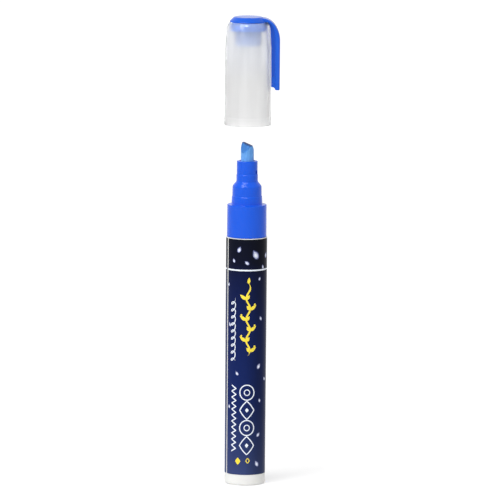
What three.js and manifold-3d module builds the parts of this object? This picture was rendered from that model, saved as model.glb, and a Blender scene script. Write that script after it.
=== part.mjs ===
// A waterproof marker with its cap lifted straight off: printed barrel, valve front, chisel nib and cap.
// Lengths are millimetres. +Z runs up the marker from the middle of its flat base, and the clip points to +X.

import * as THREE from "three";
import { mergeVertices } from "three/addons/utils/BufferGeometryUtils.js";
import Module from "manifold-3d";

const wasm = await Module();
wasm.setup();

// Driving dimensions of the barrel.
const BARREL_HEIGHT = 92.1;
const BARREL_BASE_RADIUS = 7.5;
const BARREL_MOUTH_RADIUS = 7.6;
const BARREL_WALL = 1.15;
const BARREL_FLOOR = 1.8;
const BASE_EDGE_RADIUS = 0.9;
const FLOOR_CORNER = 0.8;
const MOUTH_EDGE = 0.15;

// The label film lies in a shallow recess, with its two ends apart at the seam.
const LABEL_THICKNESS = 0.14;
const LABEL_CLEARANCE = 0.03;
const LABEL_BOTTOM = 4.1;
const LABEL_TOP_MARGIN = 0.4;
const LABEL_END_GAP = 0.05;
const LABEL_SEAM_WIDTH = 0.75;
const LABEL_SEAM_TURN = 65;

// The front section: a spigot in the barrel, then collar, lower neck and upper neck.
const COLLAR_HEIGHT = 12;
const COLLAR_STEP = 0.27;
const COLLAR_DRAFT = 0.05;
const COLLAR_EDGE = 0.3;
const LOWER_NECK_HEIGHT = 6.7;
const LOWER_NECK_BASE_RADIUS = 5.72;
const LOWER_NECK_TOP_RADIUS = 5.38;
const SHOULDER_HEIGHT = 1.8;
const SHOULDER_EDGE = 0.3;
const UPPER_NECK_HEIGHT = 7.6;
const NECK_WALL = 1;
const NECK_DRAFT = 0.13;
const NECK_EDGE = 0.25;
const SPIGOT_LENGTH = 8.4;
const SPIGOT_WALL = 1.3;
const SPIGOT_CLEARANCE = 0.1;
const SPIGOT_LEAD = 0.4;
const SECTION_GAP = 0.1;
const LEDGE_REACH = 0.09;
const LEDGE_HEIGHT = 0.15;
const LOWER_LEDGE_RISE = 3.1;
const UPPER_LEDGE_RISE = 2.65;

// The snap bead on the spigot and the groove for it in the barrel.
const BEAD_DROP = 2.4;
const BEAD_HEIGHT = 0.22;
const BEAD_HALF_WIDTH = 0.5;
const GROOVE_HALF_WIDTH = 0.7;

// The sealing ring on the spigot.
const RING_DROP = 5;
const RING_GROOVE_DEPTH = 0.72;
const RING_GROOVE_HALF_WIDTH = 0.7;
const RING_CLEARANCE = 0.03;

// The nib, its ribbed bore and the vent in the upper neck.
const NIB_RADIUS = 2.4;
const NIB_REACH = 6.8;
const NIB_LENGTH = 24.8;
const NIB_TAIL_RADIUS = 1.7;
const NIB_TAIL_LENGTH = 1.2;
const NIB_EDGE_TURN = 130;
const NIB_EDGE_SLOPE = 11;
const NIB_FACET_ANGLE = 57;
const NIB_FLAT_DEPTH = 0.7;
const RIB_CLEARANCE = 0.1;
const RIB_HEIGHT = 0.35;
const RIB_WIDTH = 0.7;
const RIB_COUNT = 8;
const RIB_TOP_MARGIN = 0.5;
const VENT_RISE = 3.5;
const VENT_WIDTH = 1.1;
const VENT_HEIGHT = 1.7;
const VENT_TURN = -27;

// The valve: gasket, seat, stem with its head and seal, spring and cage, from the top down.
const CONTACT_GAP = 0.05;
const FIT_CLEARANCE = 0.1;
const CAVITY_RISE = 6.8;
const GASKET_THICKNESS = 0.6;
const GASKET_WIDTH = 1.5;
const SEAT_THICKNESS = 2.9;
const SEAT_FLARE = 0.6;
const STEM_RADIUS = 1;
const INK_GAP = 0.5;
const STEM_PAD_RADIUS = 1.8;
const STEM_PAD_HEIGHT = 0.6;
const SEAL_OVERLAP = 0.8;
const SEAL_THICKNESS = 0.9;
const HEAD_THICKNESS = 1.2;
const SPRING_GUIDE_LENGTH = 2;
const SPRING_RADIUS = 2.1;
const SPRING_WIRE_RADIUS = 0.25;
const SPRING_TURNS = 6;
const SPRING_GUIDE_CLEARANCE = 0.4;
const CAGE_WALL = 1.1;
const CAGE_FLOOR = 1.4;
const CAGE_HOLE_RADIUS = 0.9;
const CAGE_SLOT_WIDTH = 1.3;
const CAGE_SLOT_RISE = 3.2;
const LIP_HEIGHT = 0.35;
const LIP_REACH = 0.25;

// The mixing balls on the barrel's floor.
const BALL_RADIUS = 2.75;
const BALL_SPACING = 0.4;

// The cap. Its heights are counted from its own mouth.
const CAP_REST_GAP = 6.6;
const CAP_CLOSED_GAP = 0.3;
const CAP_FIT_CLEARANCE = 0.2;
const SHELL_WALL = 0.95;
const SHELL_MOUTH_BEAD = 0.1;
const SHELL_MOUTH_BEAD_HEIGHT = 2.6;
const SHELL_DRAFT = 0.1;
const SHELL_TURN_IN = 0.4;
const SHELL_TURN_IN_DROP = 6.5;
const SHELL_SHOULDER_RADIUS = 3.7;
const SHELL_SHOULDER_DROP = 2.75;
const SHELL_EDGE = 0.15;
const SNAP_RISE = 1.8;
const SNAP_HEIGHT = 1;
const SNAP_REACH = 0.1;
const NIB_ROOM = 2.3;
const DISC_THICKNESS = 1.85;
const DISC_ROOF = 1.1;
const DISC_ROUND_WIDTH = 2.2;
const DISC_OVERHANG = 0.16;
const PLUG_DEPTH = 3.2;
const PLUG_WALL = 0.75;
const SLEEVE_DEPTH = 8.7;
const SLEEVE_WALL = 1.1;
const SLEEVE_INSET = 3.63;
const GROOVE_ROOF = 0.5;

// The liner pushes over the sleeve and seals on the upper neck.
const LINER_WALL = 0.7;
const LINER_MOUTH_RADIUS = 5.6;
const LINER_MOUTH_RISE = 0.2;
const LINER_LAND_RISE = 0.8;
const LINER_LAND_HEIGHT = 2.4;
const LINER_RELIEF = 0.25;
const LINER_TOP_GAP = 0.25;

// The clip: a strap with a rib on its inner side and a toe near its end.
const CLIP_REACH = 3.2;
const CLIP_WIDTH_TOP = 6.2;
const CLIP_WIDTH_END = 5;
const CLIP_THICKNESS = 1.75;
const CLIP_ARC_WIDTH = 6.6;
const CLIP_ARC_HEIGHT = 8.4;
const CLIP_ARC_TOP_DROP = 0.3;
const CLIP_END = 13;
const CLIP_EDGE = 0.3;
const CLIP_RIB_WIDTH = 2.4;
const CLIP_RIB_GAP = 0.3;
const CLIP_TOE_WIDTH = 4;
const CLIP_TOE_GAP = 0.12;
const CLIP_TOE_RISE = 1.1;
const CLIP_TOE_HEIGHT = 4.6;
const CLIP_TOE_ROUND = 0.9;
const CLIP_WELD = 0.4;

// How finely round things are cut into sides.
const OUTER_SIDES = 48;
const INNER_SIDES = 32;
const STEM_SIDES = 24;
const VENT_SIDES = 12;
const RING_SIDES = 6;
const BALL_SIDES = 16;
const BALL_BANDS = 10;
const CURL_STEPS = 8;
const WIRE_SIDES = 5;
const ARC_STEPS = 5;
const SHORT_ARC_STEPS = 3;
const LONG_ARC_STEPS = 7;
const MERGE_DISTANCE = 1e-4;

const degrees = THREE.MathUtils.degToRad;

// Levels and radii that follow from the driving dimensions.
const labelTop = BARREL_HEIGHT - LABEL_TOP_MARGIN;
const labelDepth = LABEL_THICKNESS + LABEL_CLEARANCE;
const collarBaseRadius = BARREL_MOUTH_RADIUS - COLLAR_STEP;
const collarTopRadius = collarBaseRadius - COLLAR_DRAFT;
const collarBottom = BARREL_HEIGHT + SECTION_GAP;
const collarTop = BARREL_HEIGHT + COLLAR_HEIGHT;
const lowerNeckTop = collarTop + LOWER_NECK_HEIGHT;
const upperNeckBottom = lowerNeckTop + SHOULDER_HEIGHT;
const neckTop = upperNeckBottom + UPPER_NECK_HEIGHT;
const spigotBottom = BARREL_HEIGHT - SPIGOT_LENGTH;
const nibBottom = neckTop + NIB_REACH - NIB_LENGTH;
const nibTip = neckTop + NIB_REACH;
const ribRadius = NIB_RADIUS + RIB_CLEARANCE;
const boreRadius = ribRadius + RIB_HEIGHT;
const neckTopRadius = boreRadius + NECK_WALL;
const neckBaseRadius = neckTopRadius + NECK_DRAFT;

function barrelRadius(height) {
  return THREE.MathUtils.lerp(BARREL_BASE_RADIUS, BARREL_MOUTH_RADIUS, height / BARREL_HEIGHT);
}

function barrelBore(height) {
  return barrelRadius(height) - BARREL_WALL;
}

const spigotRadius = barrelBore(spigotBottom) - SPIGOT_CLEARANCE;
const beadRadius = spigotRadius + BEAD_HEIGHT;
const beadLevel = BARREL_HEIGHT - BEAD_DROP;
const ringLevel = BARREL_HEIGHT - RING_DROP;
const ringGrooveRadius = spigotRadius - RING_GROOVE_DEPTH;
const cavityRadius = spigotRadius - SPIGOT_WALL;
const cavityTop = BARREL_HEIGHT + CAVITY_RISE;
const lipRadius = cavityRadius - LIP_REACH;
const lipTop = spigotBottom + LIP_HEIGHT;

const gasketTop = cavityTop - CONTACT_GAP;
const gasketBottom = gasketTop - GASKET_THICKNESS;
const seatTop = gasketBottom - CONTACT_GAP;
const seatBottom = seatTop - SEAT_THICKNESS;
const valveRadius = cavityRadius - FIT_CLEARANCE;
const seatHoleRadius = STEM_RADIUS + INK_GAP;
const headRadius = seatHoleRadius + SEAT_FLARE + SEAL_OVERLAP;
const sealTop = seatBottom - CONTACT_GAP;
const sealBottom = sealTop - SEAL_THICKNESS;
const headTop = sealBottom - CONTACT_GAP;
const headBottom = headTop - HEAD_THICKNESS;
const guideRadius = SPRING_RADIUS - SPRING_WIRE_RADIUS - SPRING_GUIDE_CLEARANCE;
const cageTop = seatBottom - CONTACT_GAP;
const cageBottom = lipTop + CONTACT_GAP;
const cageFloorTop = cageBottom + CAGE_FLOOR;
const springTop = headBottom - CONTACT_GAP;
const springBottom = cageFloorTop + CONTACT_GAP;

// The cap rests above the nib. Closed, its mouth stands just over the barrel's mouth.
const capMouth = nibTip + CAP_REST_GAP;
const closedMouth = BARREL_HEIGHT + CAP_CLOSED_GAP;
const shellBore = collarBaseRadius + CAP_FIT_CLEARANCE;
const shellRadius = shellBore + SHELL_WALL;
const underDisc = nibTip - closedMouth + NIB_ROOM;
const shellTop = underDisc + DISC_ROOF;
const shellWaist = shellTop - SHELL_TURN_IN_DROP - SHELL_SHOULDER_DROP;
const shoulderLevel = shellTop - SHELL_SHOULDER_DROP;
const shoulderRadius = shellRadius - SHELL_DRAFT - SHELL_TURN_IN;
const shoulderCentre = shoulderRadius - SHELL_SHOULDER_RADIUS;
const shoulderSweep = Math.asin(SHELL_SHOULDER_DROP / SHELL_SHOULDER_RADIUS);
const shoulderEndRadius = shoulderCentre + SHELL_SHOULDER_RADIUS * Math.cos(shoulderSweep);
const discBottom = shellTop + CONTACT_GAP;
const discTop = discBottom + DISC_THICKNESS;
const plugRadius = shoulderEndRadius - FIT_CLEARANCE / 2;
const holeRadius = plugRadius + CONTACT_GAP;
const discRadius = plugRadius + DISC_OVERHANG;
const plugBottom = shellTop - PLUG_DEPTH;
const sleeveBottom = shellTop - SLEEVE_DEPTH;
const sleeveRadius = shellRadius - SLEEVE_INSET;
const sleeveBore = sleeveRadius - SLEEVE_WALL;
const grooveTop = discBottom - GROOVE_ROOF;

const pieces = new THREE.Group();
pieces.name = "waterproof_marker";

function addPiece(name, geometry, color, roughness) {
  const material = new THREE.MeshStandardMaterial({ color, roughness });
  const mesh = new THREE.Mesh(geometry, material);
  mesh.name = name;
  pieces.add(mesh);
}

// Turns [radius, height] pairs about +Z. The pairs run with the solid on their left.
function turned(profile, sides) {
  const points = profile.map(([radius, height]) => new THREE.Vector2(radius, height));
  const geometry = new THREE.LatheGeometry(points, sides);
  geometry.rotateX(Math.PI / 2);
  return geometry;
}

// A ring's profile never meets the axis, so it closes on its own first point.
function turnedRing(profile, sides) {
  return turned([...profile, profile[0]], sides);
}

// Points on an arc from one angle to another, counted in degrees from the outward direction.
function arc(centreRadius, centreHeight, width, height, from, to, steps) {
  const points = [];
  for (let step = 0; step <= steps; step += 1) {
    const angle = degrees(from + ((to - from) * step) / steps);
    points.push([centreRadius + width * Math.cos(angle), centreHeight + height * Math.sin(angle)]);
  }
  return points;
}

function solidOf(geometry) {
  const bare = new THREE.BufferGeometry();
  bare.setAttribute("position", geometry.getAttribute("position").clone());
  if (geometry.index) {
    bare.setIndex(geometry.index.clone());
  }
  const merged = mergeVertices(bare, MERGE_DISTANCE);
  const corners = merged.index.array;
  const kept = [];
  for (let i = 0; i < corners.length; i += 3) {
    const [a, b, c] = [corners[i], corners[i + 1], corners[i + 2]];
    if (a !== b && b !== c && a !== c) {
      kept.push(a, b, c);
    }
  }
  const mesh = new wasm.Mesh({
    numProp: 3,
    vertProperties: new Float32Array(merged.getAttribute("position").array),
    triVerts: new Uint32Array(kept),
  });
  return new wasm.Manifold(mesh);
}

function geometryOf(solid) {
  const mesh = solid.getMesh();
  const geometry = new THREE.BufferGeometry();
  geometry.setAttribute("position", new THREE.BufferAttribute(mesh.vertProperties, 3));
  geometry.setIndex(new THREE.BufferAttribute(mesh.triVerts, 1));
  return geometry;
}

// A flat outline in the X-Z plane, given a width along Y that is centred on the axis.
function plate(outline, width, edge) {
  const shape = new THREE.Shape(outline.map(([x, z]) => new THREE.Vector2(x, z)));
  const geometry = new THREE.ExtrudeGeometry(shape, {
    depth: width - 2 * edge,
    bevelEnabled: edge > 0,
    bevelThickness: edge,
    bevelSize: edge,
    bevelOffset: -edge,
    bevelSegments: 1,
  });
  geometry.translate(0, 0, edge - width / 2);
  geometry.rotateX(Math.PI / 2);
  return geometry;
}

// Barrel: a moulded tube closed flat at the bottom, with the label's recess and the snap groove.
const labelLow = LABEL_BOTTOM - LABEL_END_GAP;
const labelHigh = labelTop + LABEL_END_GAP;
const grooveRadius = barrelBore(beadLevel) + BEAD_HEIGHT;
const barrelProfile = [
  [0, 0],
  ...arc(
    BARREL_BASE_RADIUS - BASE_EDGE_RADIUS,
    BASE_EDGE_RADIUS,
    BASE_EDGE_RADIUS,
    BASE_EDGE_RADIUS,
    -90,
    0,
    SHORT_ARC_STEPS,
  ),
  [barrelRadius(labelLow), labelLow],
  [barrelRadius(labelLow) - labelDepth, labelLow],
  [barrelRadius(labelHigh) - labelDepth, labelHigh],
  [barrelRadius(labelHigh), labelHigh],
  [BARREL_MOUTH_RADIUS, BARREL_HEIGHT - MOUTH_EDGE],
  [BARREL_MOUTH_RADIUS - MOUTH_EDGE, BARREL_HEIGHT],
  [barrelBore(BARREL_HEIGHT), BARREL_HEIGHT],
  [barrelBore(beadLevel), beadLevel + GROOVE_HALF_WIDTH],
  [grooveRadius, beadLevel + GROOVE_HALF_WIDTH / 2],
  [grooveRadius, beadLevel - GROOVE_HALF_WIDTH / 2],
  [barrelBore(beadLevel), beadLevel - GROOVE_HALF_WIDTH],
  [barrelBore(BARREL_FLOOR), BARREL_FLOOR + FLOOR_CORNER],
  [barrelBore(BARREL_FLOOR) - FLOOR_CORNER, BARREL_FLOOR],
  [0, BARREL_FLOOR],
];
addPiece("barrel", turned(barrelProfile, OUTER_SIDES), 0xf5f4f1, 0.35);

// Label: a thin film around the barrel, cut through at the seam, which lies round to the left.
function filmRadius(height) {
  return barrelRadius(height) - LABEL_THICKNESS;
}

const labelProfile = [
  [filmRadius(LABEL_BOTTOM), LABEL_BOTTOM],
  [barrelRadius(LABEL_BOTTOM), LABEL_BOTTOM],
  [barrelRadius(labelTop), labelTop],
  [filmRadius(labelTop), labelTop],
];
const seamCut = new THREE.BoxGeometry(BARREL_BASE_RADIUS, LABEL_SEAM_WIDTH, 2 * BARREL_HEIGHT);
seamCut.translate(BARREL_BASE_RADIUS, 0, 0);
seamCut.rotateZ(degrees(-90 - LABEL_SEAM_TURN));
const film = solidOf(turnedRing(labelProfile, OUTER_SIDES)).subtract(solidOf(seamCut));
addPiece("label_wrap", geometryOf(film), 0x121f40, 0.4);

// Front section: the outside from the spigot up to the neck, then back down the bore and the valve cavity.
function neckRadius(height) {
  return THREE.MathUtils.mapLinear(height, upperNeckBottom, neckTop, neckBaseRadius, neckTopRadius);
}

function lowerNeckRadius(height) {
  return THREE.MathUtils.mapLinear(
    height,
    collarTop,
    lowerNeckTop,
    LOWER_NECK_BASE_RADIUS,
    LOWER_NECK_TOP_RADIUS,
  );
}

// A ledge is a small step inwards, on the way up.
function ledge(radius, level) {
  return [
    [radius, level - LEDGE_HEIGHT],
    [radius - LEDGE_REACH, level],
  ];
}

const lowerLedge = collarTop + LOWER_LEDGE_RISE;
const upperLedge = upperNeckBottom + UPPER_LEDGE_RISE;
const sectionProfile = [
  [spigotRadius - SPIGOT_LEAD, spigotBottom],
  [spigotRadius, spigotBottom + SPIGOT_LEAD],
  [spigotRadius, ringLevel - RING_GROOVE_HALF_WIDTH],
  [ringGrooveRadius, ringLevel - RING_GROOVE_HALF_WIDTH],
  [ringGrooveRadius, ringLevel + RING_GROOVE_HALF_WIDTH],
  [spigotRadius, ringLevel + RING_GROOVE_HALF_WIDTH],
  [spigotRadius, beadLevel - BEAD_HALF_WIDTH],
  [beadRadius, beadLevel],
  [spigotRadius, beadLevel + BEAD_HALF_WIDTH],
  [spigotRadius, collarBottom],
  [collarBaseRadius, collarBottom],
  [collarTopRadius, collarTop - COLLAR_EDGE],
  [collarTopRadius - COLLAR_EDGE, collarTop],
  [LOWER_NECK_BASE_RADIUS, collarTop],
  ...ledge(lowerNeckRadius(lowerLedge), lowerLedge),
  [LOWER_NECK_TOP_RADIUS, lowerNeckTop],
  [LOWER_NECK_TOP_RADIUS - SHOULDER_EDGE, lowerNeckTop + 2 * SHOULDER_EDGE],
  [neckBaseRadius + SHOULDER_EDGE, upperNeckBottom - SHOULDER_EDGE],
  [neckBaseRadius, upperNeckBottom],
  ...ledge(neckRadius(upperLedge), upperLedge),
  [neckTopRadius, neckTop - NECK_EDGE],
  [neckTopRadius - NECK_EDGE, neckTop],
  [boreRadius, neckTop],
  [boreRadius, cavityTop],
  [cavityRadius, cavityTop],
  [cavityRadius, lipTop],
  [lipRadius, lipTop],
  [lipRadius, spigotBottom],
];
let section = solidOf(turnedRing(sectionProfile, OUTER_SIDES));
const ribTop = neckTop - RIB_TOP_MARGIN;
const ribBottom = cavityTop + RIB_TOP_MARGIN;
const ribDepth = RIB_HEIGHT + RIB_CLEARANCE;
for (let count = 0; count < RIB_COUNT; count += 1) {
  const rib = new THREE.BoxGeometry(ribDepth, RIB_WIDTH, ribTop - ribBottom);
  rib.translate(ribRadius + ribDepth / 2, 0, (ribTop + ribBottom) / 2);
  rib.rotateZ((2 * Math.PI * (count + 0.5)) / RIB_COUNT);
  section = section.add(solidOf(rib));
}
const vent = new THREE.CylinderGeometry(VENT_WIDTH / 2, VENT_WIDTH / 2, 2 * neckBaseRadius, VENT_SIDES);
vent.rotateZ(-Math.PI / 2);
vent.scale(1, 1, VENT_HEIGHT / VENT_WIDTH);
vent.translate(boreRadius + neckBaseRadius, 0, upperNeckBottom + VENT_RISE);
vent.rotateZ(degrees(VENT_TURN));
section = section.subtract(solidOf(vent));
addPiece("front_section", geometryOf(section), 0x1c58e2, 0.3);

// Sealing ring: round in section, between the spigot's groove and the barrel's bore.
const ringInner = ringGrooveRadius + RING_CLEARANCE;
const ringOuter = barrelBore(ringLevel) - RING_CLEARANCE;
const ringRadius = (ringOuter - ringInner) / 2;
const sealRing = new THREE.TorusGeometry((ringInner + ringOuter) / 2, ringRadius, RING_SIDES, INNER_SIDES);
sealRing.translate(0, 0, ringLevel);
addPiece("section_seal_ring", sealRing, 0x2b2b2b, 0.8);

// Nib: a round rod cut to a chisel by two facets, with a worn flat along its slanting edge.
const rodProfile = [
  [0, nibBottom],
  [NIB_TAIL_RADIUS, nibBottom],
  [NIB_RADIUS, nibBottom + NIB_TAIL_LENGTH],
  [NIB_RADIUS, nibTip + NIB_RADIUS],
  [0, nibTip + NIB_RADIUS],
];

// Everything above the chisel's edge, tilted by the given angle about that edge.
function aboveEdge(tilt, drop) {
  const size = 8 * NIB_RADIUS;
  const block = new THREE.BoxGeometry(size, size, size);
  block.translate(0, 0, size / 2);
  block.rotateX(degrees(tilt));
  block.translate(-NIB_RADIUS, 0, 0);
  block.rotateY(degrees(NIB_EDGE_SLOPE));
  block.translate(NIB_RADIUS, 0, 0);
  block.rotateZ(degrees(NIB_EDGE_TURN - 180));
  block.translate(0, 0, nibTip - drop - 2 * NIB_RADIUS * Math.tan(degrees(NIB_EDGE_SLOPE)));
  return solidOf(block);
}

const nibSolid = solidOf(turned(rodProfile, INNER_SIDES))
  .subtract(aboveEdge(NIB_FACET_ANGLE, -NIB_FLAT_DEPTH))
  .subtract(aboveEdge(-NIB_FACET_ANGLE, -NIB_FLAT_DEPTH))
  .subtract(aboveEdge(0, 0));
addPiece("nib", geometryOf(nibSolid), 0x4f9ae0, 0.9);

// Valve seat and the soft gasket above it.
const seatProfile = [
  [seatHoleRadius + SEAT_FLARE, seatBottom],
  [valveRadius, seatBottom],
  [valveRadius, seatTop],
  [seatHoleRadius, seatTop],
  [seatHoleRadius, seatBottom + SEAT_FLARE],
];
addPiece("valve_seat", turnedRing(seatProfile, INNER_SIDES), 0xe8e8e6, 0.4);

const gasketProfile = [
  [valveRadius - GASKET_WIDTH, gasketBottom],
  [valveRadius, gasketBottom],
  [valveRadius, gasketTop],
  [valveRadius - GASKET_WIDTH, gasketTop],
];
addPiece("seat_gasket", turnedRing(gasketProfile, INNER_SIDES), 0x3a3a3a, 0.8);

// Valve stem: the pad that the nib stands on, the rod, the head and the spring's guide.
const stemTop = nibBottom - CONTACT_GAP;
const stemProfile = [
  [0, headBottom - SPRING_GUIDE_LENGTH],
  [guideRadius, headBottom - SPRING_GUIDE_LENGTH],
  [guideRadius, headBottom],
  [headRadius, headBottom],
  [headRadius, headTop],
  [STEM_RADIUS, headTop],
  [STEM_RADIUS, stemTop - 2 * STEM_PAD_HEIGHT],
  [STEM_PAD_RADIUS, stemTop - STEM_PAD_HEIGHT],
  [STEM_PAD_RADIUS, stemTop],
  [0, stemTop],
];
addPiece("valve_stem", turned(stemProfile, STEM_SIDES), 0xdedede, 0.4);

const stemSealProfile = [
  [STEM_RADIUS + CONTACT_GAP, sealBottom],
  [headRadius, sealBottom],
  [headRadius, sealTop - CONTACT_GAP],
  [headRadius - CONTACT_GAP, sealTop],
  [STEM_RADIUS + CONTACT_GAP, sealTop],
];
addPiece("stem_seal", turnedRing(stemSealProfile, STEM_SIDES), 0x303030, 0.8);

// Valve spring: one unbroken wire, coiled from the cage's floor up to the stem's head.
class Coil extends THREE.Curve {
  getPoint(share, target = new THREE.Vector3()) {
    const turn = 2 * Math.PI * SPRING_TURNS * share;
    const low = springBottom + SPRING_WIRE_RADIUS;
    const high = springTop - SPRING_WIRE_RADIUS;
    const height = THREE.MathUtils.lerp(low, high, share);
    return target.set(SPRING_RADIUS * Math.cos(turn), SPRING_RADIUS * Math.sin(turn), height);
  }
}

const wireCorners = [];
for (let side = 0; side < WIRE_SIDES; side += 1) {
  const angle = (2 * Math.PI * side) / WIRE_SIDES;
  const across = SPRING_WIRE_RADIUS * Math.cos(angle);
  wireCorners.push(new THREE.Vector2(across, SPRING_WIRE_RADIUS * Math.sin(angle)));
}
const wire = new THREE.ExtrudeGeometry(new THREE.Shape(wireCorners), {
  steps: SPRING_TURNS * CURL_STEPS,
  extrudePath: new Coil(),
  bevelEnabled: false,
});
addPiece("valve_spring", wire, 0xb8bcc0, 0.25);

// Valve cage: a cup under the spring, slotted crosswise so that ink can pass.
const cageProfile = [
  [CAGE_HOLE_RADIUS, cageBottom],
  [valveRadius, cageBottom],
  [valveRadius, cageTop],
  [valveRadius - CAGE_WALL, cageTop],
  [valveRadius - CAGE_WALL, cageFloorTop],
  [CAGE_HOLE_RADIUS, cageFloorTop],
];
let cage = solidOf(turnedRing(cageProfile, INNER_SIDES));
for (const turn of [0, Math.PI / 2]) {
  const slot = new THREE.BoxGeometry(4 * valveRadius, CAGE_SLOT_WIDTH, 2 * CAGE_SLOT_RISE);
  slot.rotateZ(turn + Math.PI / 4);
  slot.translate(0, 0, cageBottom);
  cage = cage.subtract(solidOf(slot));
}
addPiece("valve_cage", geometryOf(cage), 0xe4e4e2, 0.45);

// Two steel balls on the barrel's floor.
const ballOffset = BALL_RADIUS + BALL_SPACING / 2;
const ballLevel = BARREL_FLOOR + CONTACT_GAP + BALL_RADIUS;
for (const [name, side] of [["mixing_ball_1", -1], ["mixing_ball_2", 1]]) {
  const ball = new THREE.SphereGeometry(BALL_RADIUS, BALL_SIDES, BALL_BANDS);
  ball.rotateX(Math.PI / 2);
  ball.translate(side * ballOffset, 0, ballLevel);
  addPiece(name, ball, 0xc4c8cc, 0.15);
}

// Cap shell: frosted, with a soft bead at the mouth, a rounded shoulder and a hole for the plug.
const shellInnerTop = plugBottom - SHELL_WALL;
const snapRadius = shellBore - SNAP_REACH;
const shellLowRadius = shellRadius + SHELL_MOUTH_BEAD;
const shellProfile = [
  [shellBore, 0],
  [shellLowRadius - SHELL_EDGE, 0],
  [shellLowRadius, SHELL_EDGE],
  [shellLowRadius, SHELL_MOUTH_BEAD_HEIGHT],
  [shellRadius, SHELL_MOUTH_BEAD_HEIGHT + 4 * SHELL_MOUTH_BEAD],
  [shellRadius - SHELL_DRAFT, shellWaist],
  [shellRadius - SHELL_DRAFT - SHELL_TURN_IN / 3, (shellWaist + shoulderLevel) / 2],
  ...arc(
    shoulderCentre,
    shoulderLevel,
    SHELL_SHOULDER_RADIUS,
    SHELL_SHOULDER_RADIUS,
    0,
    THREE.MathUtils.radToDeg(shoulderSweep),
    ARC_STEPS,
  ),
  [holeRadius, shellTop],
  [holeRadius, plugBottom - CONTACT_GAP],
  [shellBore - SHELL_DRAFT - SHELL_TURN_IN, shellInnerTop],
  [shellBore - SHELL_DRAFT, shellWaist],
  [shellBore, SNAP_RISE + 2 * SNAP_HEIGHT],
  [snapRadius, SNAP_RISE + SNAP_HEIGHT],
  [snapRadius, SNAP_RISE],
  [shellBore, SNAP_RISE - SNAP_HEIGHT / 2],
];
const shell = turnedRing(shellProfile, OUTER_SIDES);
shell.translate(0, 0, capMouth);
addPiece("cap_shell", shell, 0xe3e7ec, 0.5);

// Cap liner: it flares at its mouth to clear the shoulder, and its land meets the upper neck.
const linerBore = sleeveRadius + CONTACT_GAP;
const linerRadius = linerBore + LINER_WALL;
const landRadius = neckBaseRadius + FIT_CLEARANCE;
const reliefRadius = landRadius + LINER_RELIEF;
const linerMouth = lowerNeckTop - closedMouth + LINER_MOUTH_RISE;
const landBottom = upperNeckBottom - closedMouth + LINER_LAND_RISE;
const landTop = landBottom + LINER_LAND_HEIGHT;
const linerStep = sleeveBottom - FIT_CLEARANCE;
const linerTop = grooveTop - LINER_TOP_GAP;
const linerProfile = [
  [LINER_MOUTH_RADIUS, linerMouth],
  [LINER_MOUTH_RADIUS + LINER_WALL, linerMouth],
  [reliefRadius + LINER_WALL, landBottom + LINER_WALL],
  [reliefRadius + LINER_WALL, linerStep - LINER_WALL],
  [linerRadius, linerStep],
  [linerRadius, linerTop],
  [linerBore, linerTop],
  [linerBore, linerStep],
  [reliefRadius, linerStep],
  [reliefRadius, landTop + LINER_RELIEF],
  [landRadius, landTop],
  [landRadius, landBottom],
];
const liner = turnedRing(linerProfile, INNER_SIDES);
liner.translate(0, 0, capMouth);
addPiece("cap_liner", liner, 0xdce6f3, 0.45);

// Cap clip: end disc, plug skirt, hollow sleeve and clip arm in one moulding.
const discProfile = [
  [0, underDisc],
  [sleeveBore, underDisc],
  [sleeveBore, sleeveBottom],
  [sleeveRadius, sleeveBottom],
  [sleeveRadius, grooveTop],
  [plugRadius - PLUG_WALL, grooveTop],
  [plugRadius - PLUG_WALL, plugBottom],
  [plugRadius, plugBottom],
  [plugRadius, discBottom],
  ...arc(discRadius - DISC_ROUND_WIDTH, discBottom, DISC_ROUND_WIDTH, DISC_THICKNESS, 0, 90, ARC_STEPS),
  [0, discTop],
];
let clip = solidOf(turned(discProfile, OUTER_SIDES));

// The strap's outline in the X-Z plane, from inside the disc, over the arc and down to its square end.
const clipOuter = shellRadius + CLIP_REACH;
const clipInner = clipOuter - CLIP_THICKNESS;
const arcCentre = clipOuter - CLIP_ARC_WIDTH;
const arcLevel = discTop - CLIP_ARC_TOP_DROP - CLIP_ARC_HEIGHT;
const innerArcCentre = discRadius + CONTACT_GAP;
const innerArcHeight = discBottom - arcLevel;
const strapOutline = [
  [clipInner, CLIP_END],
  [clipOuter, CLIP_END],
  ...arc(arcCentre, arcLevel, CLIP_ARC_WIDTH, CLIP_ARC_HEIGHT, 0, 90, LONG_ARC_STEPS),
  [sleeveBore, arcLevel + CLIP_ARC_HEIGHT],
  [sleeveBore, discBottom],
  ...arc(innerArcCentre, arcLevel, clipInner - innerArcCentre, innerArcHeight, 90, 0, ARC_STEPS),
];
const strap = plate(strapOutline, CLIP_WIDTH_TOP, CLIP_EDGE);
const strapPoints = strap.getAttribute("position");
for (let i = 0; i < strapPoints.count; i += 1) {
  const share = THREE.MathUtils.smoothstep(strapPoints.getZ(i), CLIP_END, arcLevel);
  const width = THREE.MathUtils.lerp(CLIP_WIDTH_END / CLIP_WIDTH_TOP, 1, share);
  strapPoints.setY(i, strapPoints.getY(i) * width);
}
clip = clip.add(solidOf(strap));

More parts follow.
